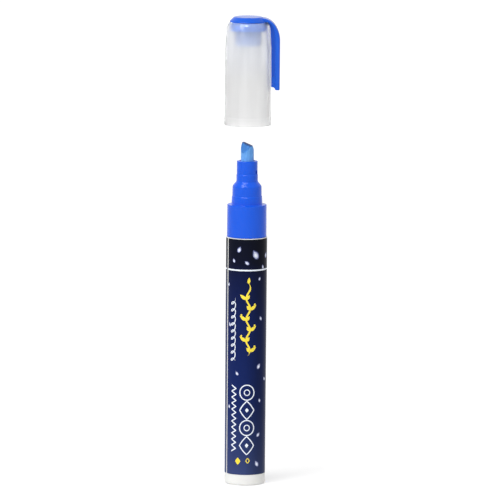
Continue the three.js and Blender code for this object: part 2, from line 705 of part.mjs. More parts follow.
// The rib fills the arc's inner side and keeps clear of the shell's outline.
const ribReach = SHELL_SHOULDER_RADIUS + CLIP_RIB_GAP;
const ribSweep = THREE.MathUtils.radToDeg(shoulderSweep);
const toeBottom = CLIP_END + CLIP_TOE_RISE;
const toeTop = toeBottom + CLIP_TOE_HEIGHT;
const weldRadius = clipInner + CLIP_WELD;
const ribOutline = [
  [shellRadius + CLIP_RIB_GAP, toeBottom + CLIP_TOE_ROUND],
  [weldRadius, toeBottom + CLIP_TOE_ROUND],
  ...arc(
    innerArcCentre,
    arcLevel,
    weldRadius - innerArcCentre,
    innerArcHeight + CLIP_WELD,
    0,
    90,
    ARC_STEPS,
  ),
  ...arc(shoulderCentre, shoulderLevel, ribReach, ribReach, ribSweep, 0, SHORT_ARC_STEPS),
  [shellRadius - SHELL_DRAFT + CLIP_RIB_GAP, shellWaist],
];
clip = clip.add(solidOf(plate(ribOutline, CLIP_RIB_WIDTH, 0)));

// The toe near the strap's end bears on the shell. Its lower corner curves out to the strap.
const toeInner = shellRadius + CLIP_TOE_GAP;
const toeOutline = [
  [toeInner, toeTop - CLIP_TOE_ROUND],
  [toeInner, toeBottom],
  ...arc(
    clipInner - CLIP_TOE_ROUND,
    toeBottom - CLIP_TOE_ROUND,
    CLIP_TOE_ROUND,
    CLIP_TOE_ROUND,
    90,
    0,
    SHORT_ARC_STEPS,
  ),
  [weldRadius, toeBottom - CLIP_TOE_ROUND],
  [weldRadius, toeTop],
  [clipInner, toeTop],
];
clip = clip.add(solidOf(plate(toeOutline, CLIP_TOE_WIDTH, 0)));
const clipGeometry = geometryOf(clip);
clipGeometry.translate(0, 0, capMouth);
addPiece("cap_clip", clipGeometry, 0x2b66e5, 0.28);

export default pieces;
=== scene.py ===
# %% [markdown]
# This lesson dresses a waterproof marker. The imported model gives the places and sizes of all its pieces,
# and it stays as it is. The scene could give that model better materials alone, but its round pieces are
# cut into flat sides. So ten pieces, all that show and the coil and the balls inside, get a smooth twin
# of the same size, and the other six only get a finish.

import math

import bmesh
import bpy
from mathutils import Matrix, Vector


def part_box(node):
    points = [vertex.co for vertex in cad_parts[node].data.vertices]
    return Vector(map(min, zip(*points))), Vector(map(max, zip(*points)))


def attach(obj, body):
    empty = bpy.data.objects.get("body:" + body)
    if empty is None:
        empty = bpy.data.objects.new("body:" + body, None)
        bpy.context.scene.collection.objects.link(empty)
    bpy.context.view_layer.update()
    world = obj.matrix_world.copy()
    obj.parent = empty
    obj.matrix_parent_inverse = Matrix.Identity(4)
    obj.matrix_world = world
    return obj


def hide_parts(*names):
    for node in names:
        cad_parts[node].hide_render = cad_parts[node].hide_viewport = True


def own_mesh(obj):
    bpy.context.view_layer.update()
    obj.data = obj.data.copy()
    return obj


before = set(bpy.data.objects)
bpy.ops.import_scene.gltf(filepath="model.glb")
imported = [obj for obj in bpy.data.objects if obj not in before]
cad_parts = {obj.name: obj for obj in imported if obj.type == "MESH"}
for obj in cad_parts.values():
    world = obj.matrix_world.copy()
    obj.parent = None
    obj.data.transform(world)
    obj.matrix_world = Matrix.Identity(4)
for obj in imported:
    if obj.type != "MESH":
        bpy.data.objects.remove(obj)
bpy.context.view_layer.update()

# %% [markdown]
# Everything here is measured in millimetres in the text and turned into metres at the last moment. The
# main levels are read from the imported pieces, so the twins follow if those change.

# %% Read the levels of the pieces
MM = 0.001


def level(node, top):
    """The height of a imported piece's top or bottom in millimetres."""
    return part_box(node)[1 if top else 0][2] / MM


barrel_top = level("barrel", True)
section_top = level("front_section", True)
section_bottom = level("front_section", False)
label_bottom = level("label_wrap", False)
label_top = level("label_wrap", True)
nib_bottom = level("nib", False)
cap_mouth = level("cap_shell", False)
print("barrel", barrel_top, "neck", section_top, "nib", level("nib", True), "cap mouth", cap_mouth)

# %% [markdown]
# Most pieces of a marker are turned shapes: a profile swept round the axis. Blender's Screw modifier
# could do it, but a mesh built in code keeps single points on the axis and lets each corner have its own
# small radius. Moulded plastic never has a sharp corner, and the light that such a radius catches makes
# it look real.

# %% Round the corners of a profile
CORNER_SHARE = 0.48


def rounded(points, closed=False, steps=4):
    """Points are (radius, height, corner radius). Each corner with a radius becomes a short curve."""
    result = []
    count = len(points)
    for index, (x, z, size) in enumerate(points):
        at_end = index in (0, count - 1) and not closed
        if size == 0 or at_end:
            result.append((x, z))
            continue
        here = Vector((x, z))
        before = Vector(points[index - 1][:2]) - here
        after = Vector(points[(index + 1) % count][:2]) - here
        reach = min(size, before.length * CORNER_SHARE, after.length * CORNER_SHARE)
        start = here + before.normalized() * reach
        end = here + after.normalized() * reach
        for step in range(steps + 1):
            share = step / steps
            point = start * (1 - share) ** 2 + here * 2 * share * (1 - share) + end * share**2
            result.append((point.x, point.y))
    return result


print("a square corner becomes", len(rounded([(0, 0, 0), (5, 0, 1), (5, 5, 0)])), "points")

# %% [markdown]
# Every twin starts as loose mesh data and ends as an object. Blender can shade a whole mesh smooth or
# flat. Here it is smooth but for real corners, and large faces keep their own direction next to small
# curves, so that broad walls don't look dented.

# %% Make objects from mesh data
MERGE_DISTANCE = 1e-8
SHARP_ANGLE = 35
MOULDING_ANGLE = 40
FACE_WEIGHT = 80


def new_piece(mesh_data, name, angle):
    """Adds mesh data to the scene as an object that is smooth but for corners above an angle."""
    mesh = bpy.data.meshes.new(name)
    mesh_data.to_mesh(mesh)
    mesh_data.free()
    mesh.polygons.foreach_set("use_smooth", [True] * len(mesh.polygons))
    mesh.set_sharp_from_angle(angle=math.radians(angle))
    piece = bpy.data.objects.new(name, mesh)
    bpy.context.scene.collection.objects.link(piece)
    return piece


def finish_piece(mesh_data, name, angle=SHARP_ANGLE):
    """Merges doubled points, turns the faces outward and adds the piece."""
    bmesh.ops.remove_doubles(mesh_data, verts=mesh_data.verts, dist=MERGE_DISTANCE)
    bmesh.ops.recalc_face_normals(mesh_data, faces=mesh_data.faces)
    return new_piece(mesh_data, name, angle)


def even_shading(piece):
    """Large faces keep their own direction next to small curves."""
    modifier = piece.modifiers.new("even_shading", "WEIGHTED_NORMAL")
    modifier.keep_sharp = True
    modifier.weight = FACE_WEIGHT
    return piece


# %% Turn a profile round the axis
def ring_of_points(data, radius, height, sides):
    """Points round the axis, from the front to the right."""
    ring = []
    for side in range(sides):
        angle = 2 * math.pi * side / sides
        ring.append(data.verts.new((radius * math.sin(angle), -radius * math.cos(angle), height)))
    return ring


def bridge(data, rings, all_round=True):
    """Faces between each ring of points and the next. A ring may be a single point."""
    for low, high in zip(rings, rings[1:]):
        sides = max(len(low), len(high))
        for side in range(sides if all_round else sides - 1):
            following = (side + 1) % sides
            lower = [low[side % len(low)], low[following % len(low)]]
            upper = [high[following % len(high)], high[side % len(high)]]
            data.faces.new(list(dict.fromkeys(lower + upper)))


def turned(name, profile, closed=False, sides=128, raise_by=0.0):
    """Sweeps (radius, height) pairs round the axis. A closed profile makes a ring or a tube."""
    data = bmesh.new()
    rings = []
    for radius, height in profile:
        z = (height + raise_by) * MM
        if radius == 0:
            rings.append([data.verts.new((0, 0, z))])
        else:
            rings.append(ring_of_points(data, radius * MM, z, sides))
    if closed:
        rings.append(rings[0])
    bridge(data, rings)
    return even_shading(finish_piece(data, name))


print("turning ready")


# %% Cut and join pieces
def bake(piece):
    """Makes a piece's modifiers permanent."""
    bpy.context.view_layer.update()
    shaped = piece.evaluated_get(bpy.context.evaluated_depsgraph_get())
    result = bpy.data.meshes.new_from_object(shaped)
    piece.modifiers.clear()
    piece.data = result


def cut_away(piece, cutter):
    """Takes the cutter's volume out of the piece and removes the cutter."""
    modifier = piece.modifiers.new("cut", "BOOLEAN")
    modifier.operation = "DIFFERENCE"
    modifier.solver = "EXACT"
    modifier.object = cutter
    bake(piece)
    bpy.data.objects.remove(cutter)
    piece.data.set_sharp_from_angle(angle=math.radians(SHARP_ANGLE))
    even_shading(piece)


def joined(name, parts):
    """Puts several meshes of one moulding into one object."""
    data = bmesh.new()
    for part in parts:
        bake(part)
        data.from_mesh(part.data)
        bpy.data.objects.remove(part)
    return even_shading(new_piece(data, name, MOULDING_ANGLE))


print("cutting and joining ready")

# %% [markdown]
# Colours are written as they look on a screen, from 0 to 255, and turned into the linear values that
# Blender works with. Nodes could be made and linked one line at a time. A helper that takes plain values
# and other nodes' outputs alike keeps a material as short as its recipe.

# %% Colours and nodes
def colour(red, green, blue):
    """A screen colour as linear values with an alpha of one."""
    linear = []
    for part in (red, green, blue):
        share = part / 255
        linear.append(share / 12.92 if share <= 0.04045 else ((share + 0.055) / 1.055) ** 2.4)
    return (*linear, 1.0)


def feed(tree, node, inputs):
    """Gives a node's inputs plain values or other nodes' outputs."""
    for key, value in inputs.items():
        if isinstance(value, bpy.types.NodeSocket):
            tree.links.new(value, node.inputs[key])
        else:
            node.inputs[key].default_value = value


def add(tree, kind, inputs=None, **settings):
    """A new node with its settings and its inputs."""
    node = tree.nodes.new(kind)
    for key, value in settings.items():
        setattr(node, key, value)
    feed(tree, node, inputs or {})
    return node


def empty_tree(owner):
    """The cleared node tree of a material or a world."""
    owner.use_nodes = True
    owner.node_tree.nodes.clear()
    return owner.node_tree


def new_material(name):
    """An empty material with its surface shader and output, ready for more nodes."""
    material = bpy.data.materials.new(name)
    tree = empty_tree(material)
    surface = add(tree, "ShaderNodeBsdfPrincipled")
    add(tree, "ShaderNodeOutputMaterial", {"Surface": surface.outputs["BSDF"]})
    return material, tree, surface


print("navy in linear values", [round(part, 4) for part in colour(18, 36, 84)])

# %% [markdown]
# A few nodes come back in many materials: the place on the marker, a noise, a sum, a change of scale, a
# colour ramp and a mix of two colours. Each gets a helper that gives its output. All places are in the
# marker's own frame, so nothing slides when the camera moves.

# %% Helpers for places and numbers
def object_place(tree):
    """Where a point lies on the marker, in metres."""
    return add(tree, "ShaderNodeTexCoord").outputs["Object"]


def place_along(tree, axis):
    """A point's place along the frame's X, Y or Z."""
    return add(tree, "ShaderNodeSeparateXYZ", {"Vector": object_place(tree)}).outputs[axis]


def drawn_out(tree, share, turn=(0.0, 0.0, 0.0)):
    """The place with its height shortened to a share, which draws a noise out along the marker."""
    inputs = {"Vector": object_place(tree), "Rotation": turn, "Scale": (1.0, 1.0, share)}
    return add(tree, "ShaderNodeMapping", inputs).outputs["Vector"]


def noise(tree, place, scale, detail=2.0, roughness=0.5):
    """A noise from 0 to 1 with about so many waves a metre."""
    inputs = {"Vector": place, "Scale": scale, "Detail": detail, "Roughness": roughness}
    return add(tree, "ShaderNodeTexNoise", inputs).outputs["Fac"]


def result_of(tree, operation, *values, **settings):
    """The result of one step of arithmetic."""
    inputs = dict(enumerate(values))
    return add(tree, "ShaderNodeMath", inputs, operation=operation, **settings).outputs[0]


def rescaled(tree, value, low, high, start=0.0, end=1.0):
    """Turns a value between low and high into one between start and end."""
    inputs = {"Value": value, "From Min": low, "From Max": high, "To Min": start, "To Max": end}
    return add(tree, "ShaderNodeMapRange", inputs).outputs["Result"]


print("helpers for places and numbers ready")


# %% Helpers for colours
def ramp(tree, factor, stops):
    """A colour that changes with a factor. Stops are screen colours by position."""
    node = add(tree, "ShaderNodeValToRGB", {"Fac": factor})
    elements = node.color_ramp.elements
    while len(elements) > 1:
        elements.remove(elements[-1])
    for index, (position, tone) in enumerate(stops.items()):
        element = elements.new(position) if index else elements[0]
        element.position = position
        element.color = colour(*tone)
    return node.outputs["Color"]


def blended(tree, below, above, share, kind="MIX"):
    """One colour over another, by a share or a mask."""
    inputs = {"Factor": share, "A": below, "B": above}
    return add(tree, "ShaderNodeMix", inputs, data_type="RGBA", blend_type=kind).outputs["Result"]


print("helpers for colours ready")

# %% [markdown]
# A moulded surface isn't a mirror: it keeps a faint, soft unevenness from the mould and it cools a little
# unevenly. A noise could be written into every material, but one shader group with its own sockets gives
# all plastics the same kind of skin, and each material sets the size and the depth.

# %% Shader group for a moulded skin
NUMBER = "NodeSocketFloat"
COLOUR = "NodeSocketColor"


def group_with(name, inputs, outputs):
    """A shader group with named sockets. Inputs are (name, kind, start value), outputs (name, kind)."""
    tree = bpy.data.node_groups.new(name, "ShaderNodeTree")
    for label, kind, value in inputs:
        tree.interface.new_socket(label, in_out="INPUT", socket_type=kind).default_value = value
    for label, kind in outputs:
        tree.interface.new_socket(label, in_out="OUTPUT", socket_type=kind)
    return tree, tree.nodes.new("NodeGroupInput").outputs, tree.nodes.new("NodeGroupOutput")


skin, given, result = group_with(
    "moulded skin",
    [("Grain Size", NUMBER, 900.0), ("Roughness", NUMBER, 0.3), ("Spread", NUMBER, 0.08)],
    [("Height", NUMBER), ("Roughness", NUMBER)],
)
fine = noise(skin, object_place(skin), given["Grain Size"], 3.0, 0.55)
broad = noise(skin, object_place(skin), 90.0, 4.0, 0.6)
centred = result_of(skin, "SUBTRACT", broad, 0.5)
spread = result_of(skin, "MULTIPLY_ADD", centred, given["Spread"], given["Roughness"])
feed(skin, result, {"Height": fine, "Roughness": spread})
print("group", skin.name, "with", len(skin.nodes), "nodes")

# %% [markdown]
# A marker is handled, and its gloss shows fine rubbed marks that run mostly along it. A second group
# gives a mask of such marks: noise that is drawn out along the marker, cut so that only its peaks are
# left.

# %% Shader group for rubbed marks
rubbed, given, result = group_with("rubbed marks", [("Amount", NUMBER, 0.4)], [("Mask", NUMBER)])
marks = noise(rubbed, drawn_out(rubbed, 0.12, turn=(0.1, 0.07, 0.0)), 2600.0)
peaks = rescaled(rubbed, marks, 0.6, 0.78)
feed(rubbed, result, {"Mask": result_of(rubbed, "MULTIPLY", peaks, given["Amount"])})
print("group", rubbed.name, "with", len(rubbed.nodes), "nodes")

# %% [markdown]
# The third shared effect is a slight drift of colour. Dyed plastic is never the same everywhere: it is a
# touch deeper where it is thick. The group darkens and lightens a colour by a slow noise.

# %% Shader group for a drift of colour
drift, given, result = group_with(
    "colour drift",
    [("Color", COLOUR, (0.8, 0.8, 0.8, 1.0)), ("Amount", NUMBER, 0.06)],
    [("Color", COLOUR)],
)
centred = result_of(drift, "SUBTRACT", noise(drift, object_place(drift), 55.0), 0.5)
strength = result_of(drift, "MULTIPLY_ADD", centred, given["Amount"], 1.0)
shade = add(drift, "ShaderNodeVectorMath", {0: given["Color"], "Scale": strength}, operation="SCALE")
feed(drift, result, {"Color": shade.outputs["Vector"]})
print("group", drift.name, "with", len(drift.nodes), "nodes")

# %% [markdown]
# The marker's plastics differ in dye, gloss, grain, wear and the light that wanders inside, and all else
# is the same. A function with those as its arguments makes each of them from the three groups. Two are
# needed first: the barrel's white, which lets a little light wander inside, and the blue of the front
# section.

# %% Plastics from the three groups
def drifted(tree, surface, tone, amount):
    """Gives a surface a colour, plain or from a node, that drifts a little."""
    node = add(tree, "ShaderNodeGroup", {"Color": tone, "Amount": amount}, node_tree=drift)
    feed(tree, surface, {"Base Color": node.outputs["Color"]})


def skinned(tree, surface, grain, depth, roughness, spread, wear=0.0):
    """Gives a surface the moulded skin's bump and roughness, with rubbed marks on top."""
    inputs = {"Grain Size": grain, "Roughness": roughness, "Spread": spread}
    made = add(tree, "ShaderNodeGroup", inputs, node_tree=skin).outputs
    bump_inputs = {"Height": made["Height"], "Strength": 1.0, "Distance": depth * MM}
    bump = add(tree, "ShaderNodeBump", bump_inputs)
    rough = made["Roughness"]
    if wear:
        marks = add(tree, "ShaderNodeGroup", {"Amount": wear}, node_tree=rubbed).outputs["Mask"]
        rough = result_of(tree, "ADD", rough, marks, use_clamp=True)
    feed(tree, surface, {"Normal": bump.outputs["Normal"], "Roughness": rough})


def plastic(name, tone, roughness, grain=900.0, depth=0.004, wear=0.0, inner=0.0, gloss=1.49):
    """Moulded plastic. The tone is a colour or a function that makes it from nodes. Inner is how much light
    wanders inside, gloss is the index of refraction."""
    material, tree, surface = new_material(name)
    drifted(tree, surface, tone(tree) if callable(tone) else tone, 0.05)
    skinned(tree, surface, grain, depth, roughness, 0.1, wear)
    look = {
        "IOR": gloss,
        "Subsurface Weight": inner,
        "Subsurface Radius": (1.0, 0.8, 0.6),
        "Subsurface Scale": 0.8 * MM,
    }
    feed(tree, surface, look)
    return material


def dress(piece, material):
    """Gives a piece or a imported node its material."""
    piece.data.materials.clear()
    piece.data.materials.append(material)


white_plastic = plastic("white barrel plastic", colour(234, 234, 231), 0.34, 700, 0.003, 0.12, 0.15)
blue_plastic = plastic("blue moulded plastic", colour(2, 84, 216), 0.17, 800, 0.002, 0.06, gloss=1.34)
print("plastics ready")

# %% [markdown]
# The barrel is a white moulded tube, closed and slightly rounded at its foot. Only the foot shows below
# the label, with a hair of it in the label's seam. It is turned from the same profile as the packed
# piece, with softer corners, and its recess keeps the film flush.

# %% Barrel
BASE_RADIUS = 7.5
MOUTH_RADIUS = 7.6
BARREL_WALL = 1.15
BARREL_FLOOR = 1.8
FILM = 0.14
FILM_RISE = 0.12


def barrel_radius(height):
    """The barrel grows a little from its foot to its mouth."""
    return BASE_RADIUS + (MOUTH_RADIUS - BASE_RADIUS) * height / barrel_top


film_top = label_top + FILM_RISE
recess_low = label_bottom - 0.05
recess_high = film_top + 0.04
recess_depth = FILM + 0.03
barrel_profile = rounded(
    [
        (0, 0, 0),
        (BASE_RADIUS, 0, 0.9),
        (barrel_radius(recess_low), recess_low, 0.06),
        (barrel_radius(recess_low) - recess_depth, recess_low, 0.03),
        (barrel_radius(recess_high) - recess_depth, recess_high, 0.03),
        (barrel_radius(recess_high), recess_high, 0.06),
        (MOUTH_RADIUS, barrel_top, 0.15),
        (MOUTH_RADIUS - BARREL_WALL, barrel_top, 0.12),
        (barrel_radius(3) - BARREL_WALL, BARREL_FLOOR, 0.9),
        (0, BARREL_FLOOR, 0),
    ],
    steps=6,
)
barrel_body = turned("barrel_body", barrel_profile)
dress(barrel_body, white_plastic)
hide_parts("barrel")
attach(barrel_body, "barrel")
print("barrel radius at the foot and mouth", BASE_RADIUS, MOUTH_RADIUS)

# %% [markdown]
# The label is a printed film wrapped once round the barrel. Its two ends stop just short of each other
# and leave a white line at the left. A plain tube would lose that line, so the film is an open wrap with
# thickness.

# %% Label film
SEAM_TURN = math.radians(65)
SEAM_HALF = 0.5
FILM_SIDES = 150


def wrapped_point(along, height, lift):
    """A point on the label or above it by a lift. Along is the way round from the front, to the right."""
    radius = barrel_radius(height) + lift
    angle = along / barrel_radius(height)
    return Vector((radius * math.sin(angle), -radius * math.cos(angle), height)) * MM


def label_film():
    """The open wrap, from one side of the seam round to the other."""
    data = bmesh.new()
    half_gap = SEAM_HALF / BASE_RADIUS
    sweep = 2 * math.pi - 2 * half_gap
    corners = [
        (-FILM, label_bottom, 0),
        (0, label_bottom, 0.05),
        (0, film_top, 0.05),
        (-FILM, film_top, 0),
    ]
    outline = rounded(corners, closed=True, steps=2)
    loops = []
    for side in range(FILM_SIDES + 1):
        angle = half_gap - SEAM_TURN + sweep * side / FILM_SIDES
        loop = []
        for inset, height in outline:
            radius = (barrel_radius(height) + inset) * MM
            loop.append(data.verts.new((radius * math.sin(angle), -radius * math.cos(angle), height * MM)))
        loops.append(loop)
    bridge(data, loops)
    data.faces.new(loops[0])
    data.faces.new(loops[-1])
    return even_shading(finish_piece(data, "label_film"))


film = label_film()
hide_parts("label_wrap")
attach(film, "barrel")
print("label from", label_bottom, "to", label_top)

# %% [markdown]
# The film's ground is a night blue that turns nearly black at the top and paler near the foot. An image
# would be the usual way to print it. Here a colour ramp up the height gives the ground, and a second one
# across paints shade over it: paler and a touch violet on the left, darker on the right, as if lit from
# the left. The drawings are thin pieces of their own on top.

# %% Label material
label_print, tree, surface = new_material("printed label film")
ground = ramp(
    tree,
    rescaled(tree, place_along(tree, "Z"), label_bottom * MM, label_top * MM),
    {
        0.0: (62, 74, 118),
        0.12: (46, 60, 108),
        0.3: (20, 38, 94),
        0.62: (14, 32, 86),
        0.84: (9, 21, 62),
        0.9: (5, 10, 34),
        1.0: (4, 8, 26),
    },
)
# Painted shade: the film is darkened towards its right side, as if lit from the left.
painted_side_shade = ramp(
    tree,
    rescaled(tree, place_along(tree, "X"), -MOUTH_RADIUS * MM, MOUTH_RADIUS * MM),
    {0.0: (255, 250, 255), 0.5: (232, 238, 246), 0.8: (196, 198, 202), 1.0: (186, 188, 194)},
)
drifted(tree, surface, blended(tree, ground, painted_side_shade, 1.0, "MULTIPLY"), 0.22)
skinned(tree, surface, 1500, 0.0015, 0.3, 0.08, 0.08)
feed(tree, surface, {"IOR": 1.1, "Coat Weight": 0.08, "Coat Roughness": 0.1})
dress(film, label_print)
print("label ground with", len(tree.nodes), "nodes")

# %% [markdown]
# The print has three kinds of marks: bold yellow ones, thin white lines and soft pale drops. They are
# drawn as flat strips and patches that lie on the film with a lift of about a hundredth of a millimetre,
# which keeps their edges crisp at any size. Each follows a line in the label's own flat plane and is then
# wrapped.

# %% Strips on the label
LIFT = 0.014
FINE_STEP = 0.3
THINNEST = 0.08


def fine_line(points, closed):
    """The same line with points at most a fine step apart, so that it follows the round film."""
    ends = list(points) + ([points[0]] if closed else [])
    result = []
    for here, following in zip(ends, ends[1:]):
        here, following = Vector(here), Vector(following)
        steps = max(1, math.ceil((following - here).length / FINE_STEP))
        result += [here.lerp(following, step / steps) for step in range(steps)]
    return result if closed else [*result, Vector(ends[-1])]


def strip_on_label(data, line, width, closed=False, taper=0.0):
    """A flat stroke along a line of (along, height) points. A taper thins that share at both ends."""
    points = fine_line(line, closed)
    count = len(points)
    rows = []
    for index, here in enumerate(points):
        before = points[index - 1] if index or closed else here
        after = points[(index + 1) % count] if index < count - 1 or closed else here
        heading = (after - before).normalized()
        normal = Vector((-heading.y, heading.x))
        share = index / (count - 1)
        painted_glow_through = min(1.0, max(THINNEST, min(share, 1 - share) / taper)) if taper else 1.0
        row = []
        for side in (0.5, 0.0, -0.5):
            place = here + normal * width * painted_glow_through * side
            row.append(data.verts.new(wrapped_point(place.x, place.y, LIFT)))
        rows.append(row)
    if closed:
        rows.append(rows[0])
    bridge(data, rows, all_round=False)


print("strips lie", LIFT, "mm above the film")


# %% Patches on the label
def patch_on_label(data, outline, lift=LIFT):
    """A filled shape from an outline of (along, height) points round its middle, in rings."""
    outline = [Vector(point) for point in outline]
    centre = sum(outline, Vector((0, 0))) / len(outline)
    reach = max((point - centre).length for point in outline)
    count = max(2, math.ceil(reach / FINE_STEP))
    rings = [[data.verts.new(wrapped_point(centre.x, centre.y, lift))]]
    for ring in range(1, count + 1):
        places = [centre.lerp(point, ring / count) for point in outline]
        rings.append([data.verts.new(wrapped_point(place.x, place.y, lift)) for place in places])
    bridge(data, rings[::-1])


def oval(along, height, width, tall, tilt=0.0, points=28, drop=0.0):
    """An oval outline, or a drop when its upper end is drawn to a point."""
    outline = []
    for index in range(points):
        angle = 2 * math.pi * index / points
        squeeze = 1 - drop * max(0.0, math.sin(angle)) ** 1.5
        x = width / 2 * math.cos(angle) * squeeze
        z = tall / 2 * math.sin(angle)
        turned_x = x * math.cos(tilt) - z * math.sin(tilt)
        outline.append((along + turned_x, height + x * math.sin(tilt) + z * math.cos(tilt)))
    return outline


def print_piece(name, data, material):
    """Adds a layer of print, which belongs to the label."""
    piece = finish_piece(data, name)
    dress(piece, material)
    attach(piece, "barrel")
    return piece


print("an oval has", len(oval(0, 0, 1, 1)), "points")

# %% [markdown]
# The print's inks are opaque but slightly broken, as ink on film is. Each ink shows a little of the
# ground through a fine noise. A cut-out with transparency would do the same and cost more, so the
# ground's colour is mixed in instead.

# %% Inks of the print
def ink(name, tone, ground_tone, broken):
    """An opaque ink with a few pinholes that show the ground."""
    material, tree, surface = new_material(name)
    holes = rescaled(tree, noise(tree, object_place(tree), 2400.0), 0.62, 0.72, end=broken)
    drifted(tree, surface, blended(tree, tone, ground_tone, holes), 0.08)
    skinned(tree, surface, 1500, 0.002, 0.34, 0.08)
    feed(tree, surface, {"IOR": 1.2})
    return material


yellow_ink = ink("yellow print", colour(252, 228, 74), colour(30, 44, 88), 0.6)
white_ink = ink("white print", colour(236, 242, 252), colour(30, 44, 88), 0.5)
pale_ink = ink("pale drop print", colour(190, 194, 220), colour(120, 126, 168), 0.8)
haze_ink = ink("drop haze print", colour(84, 92, 138), colour(40, 52, 98), 0.8)
print("four inks")

# %% [markdown]
# The bold mark is a yellow vine in the upper half: a waving stem with a pair of leaves at each bend and
# dots beside it. A thin white line loops along next to it. Both are plain ornaments, with the scale and
# the weight that print has on such a label. Each is drawn twice, half a turn apart, so that the label
# isn't bare on its back.

# %% Yellow vine
BACK = 23.4
HALVES = (0.0, BACK)
LEAF_POINTS = 12


def leaf(along, height, length, width, tilt):
    """A pointed leaf that starts at a place and leans to a side by an angle in degrees."""
    heading = Vector((math.sin(math.radians(tilt)), math.cos(math.radians(tilt))))
    across = Vector((heading.y, -heading.x))
    outline = []
    for side in (1, -1):
        for step in range(LEAF_POINTS):
            share = step / LEAF_POINTS if side == 1 else 1 - step / LEAF_POINTS
            belly = math.sin(math.pi * share**0.8) * width / 2
            outline.append(Vector((along, height)) + heading * length * share + across * belly * side)
    return outline


VINE_LOW, VINE_HIGH = 48.6, 76.0
VINE_MIDDLE, VINE_REACH, VINE_PERIOD = 0.8, 0.75, 7.8
STEM_STEPS = 120
vine = bmesh.new()
for half in HALVES:
    middle = VINE_MIDDLE + half
    stem = []
    for step in range(STEM_STEPS + 1):
        rise = (VINE_HIGH - VINE_LOW) * step / STEM_STEPS
        stem.append((middle + VINE_REACH * math.sin(2 * math.pi * rise / VINE_PERIOD), VINE_LOW + rise))
    strip_on_label(vine, stem, 0.62, taper=0.1)
    for bend in range(6):
        side = -1 if bend % 2 else 1
        height = VINE_LOW + (0.25 + 0.5 * bend) * VINE_PERIOD - 0.5
        for lean, length in ((52, 3.0), (-38, 2.1)):
            patch_on_label(vine, leaf(middle + side * VINE_REACH, height, length, 1.25, side * lean))
    patch_on_label(vine, leaf(middle + 0.1, VINE_HIGH - 0.6, 2.4, 1.1, 4))
    for dot in range(5):
        side = -1 if dot % 2 else 1
        height = VINE_LOW + (0.75 + 0.5 * dot) * VINE_PERIOD - 2.3
        patch_on_label(vine, oval(middle + side * 2.5, height, 0.72, 0.72))
vine_print = print_piece("yellow_vine_print", vine, yellow_ink)
print("vine faces", len(vine_print.data.polygons))


# %% White loops
LOOP_STEPS = 300


def looping(middle, low, high, reach, turns):
    """A line that loops over itself as it runs up the label."""
    points = []
    for step in range(LOOP_STEPS + 1):
        share = step / LOOP_STEPS
        angle = 2 * math.pi * turns * share
        swing = math.cos(angle)
        rise = (high - low) * share + reach * (math.sin(angle) + 0.5 * swing)
        points.append((middle + reach * swing, low + rise))
    return points


loops = bmesh.new()
for half in HALVES:
    strip_on_label(loops, looping(half - 5.0, 46.0, 69.6, 0.92, 9), 0.34, taper=0.03)
loop_print = print_piece("white_loop_print", loops, white_ink)
print("loop faces", len(loop_print.data.polygons))

# %% [markdown]
# The lower half carries large thin outlines, rings and kites in turn, with a zigzag line beside them and
# two small yellow kites at the end. The ring line round the upper part closes the print.

# %% Lower print and ring line
def kite(along, height, width, tall):
    """A kite whose sides bow a little, as an outline."""
    corners = [(0, tall / 2), (width / 2, 0), (0, -tall / 2), (-width / 2, 0)]
    outline = []
    for (x, z), following in zip(corners, corners[1:] + corners[:1]):
        for step in range(6):
            share = step / 6
            bow = 1 + 0.1 * math.sin(math.pi * share)
            across = x + (following[0] - x) * share
            upward = z + (following[1] - z) * share
            outline.append((along + across * bow, height + upward * bow))
    return outline


OUTLINE_TOP, OUTLINE_PITCH = 34.9, 6.6
ZIGZAG_LOW, ZIGZAG_RISE, ZIGZAG_REACH = 12.8, 1.12, 0.95
lower = bmesh.new()
for half in HALVES:
    middle = 0.6 + half
    for index in range(4):
        height = OUTLINE_TOP - OUTLINE_PITCH * index
        if index % 2:
            strip_on_label(lower, kite(middle, height, 5.3, 6.8), 0.4, closed=True)
            patch_on_label(lower, kite(middle, height, 1.3, 1.7))
        else:
            strip_on_label(lower, oval(middle, height, 5.3, 5.6, points=56), 0.4, closed=True)
            strip_on_label(lower, oval(middle, height, 2.0, 2.1, points=32), 0.34, closed=True)
    zigzag = []
    for index in range(23):
        swing = ZIGZAG_REACH if index % 2 else -ZIGZAG_REACH
        zigzag.append((half - 4.5 + swing, ZIGZAG_LOW + index * ZIGZAG_RISE))
    strip_on_label(lower, zigzag, 0.42)

RING_HEIGHT = 80.4
RING_STEPS = 160
seam_gap = 1.2 * SEAM_HALF / BASE_RADIUS
ring_line = []
for step in range(RING_STEPS + 1):
    angle = seam_gap - SEAM_TURN + 2 * (math.pi - seam_gap) * step / RING_STEPS
    ring_line.append((angle * barrel_radius(RING_HEIGHT), RING_HEIGHT))
strip_on_label(lower, ring_line, 0.56)
lower_print = print_piece("white_outline_print", lower, white_ink)

accent = bmesh.new()
for half in HALVES:
    patch_on_label(accent, kite(half - 2.7, 9.2, 2.0, 2.7))
    strip_on_label(accent, kite(half + 1.0, 9.4, 1.3, 1.8), 0.3, closed=True)
print_piece("yellow_kite_print", accent, yellow_ink)
print("outline faces", len(lower_print.data.polygons))
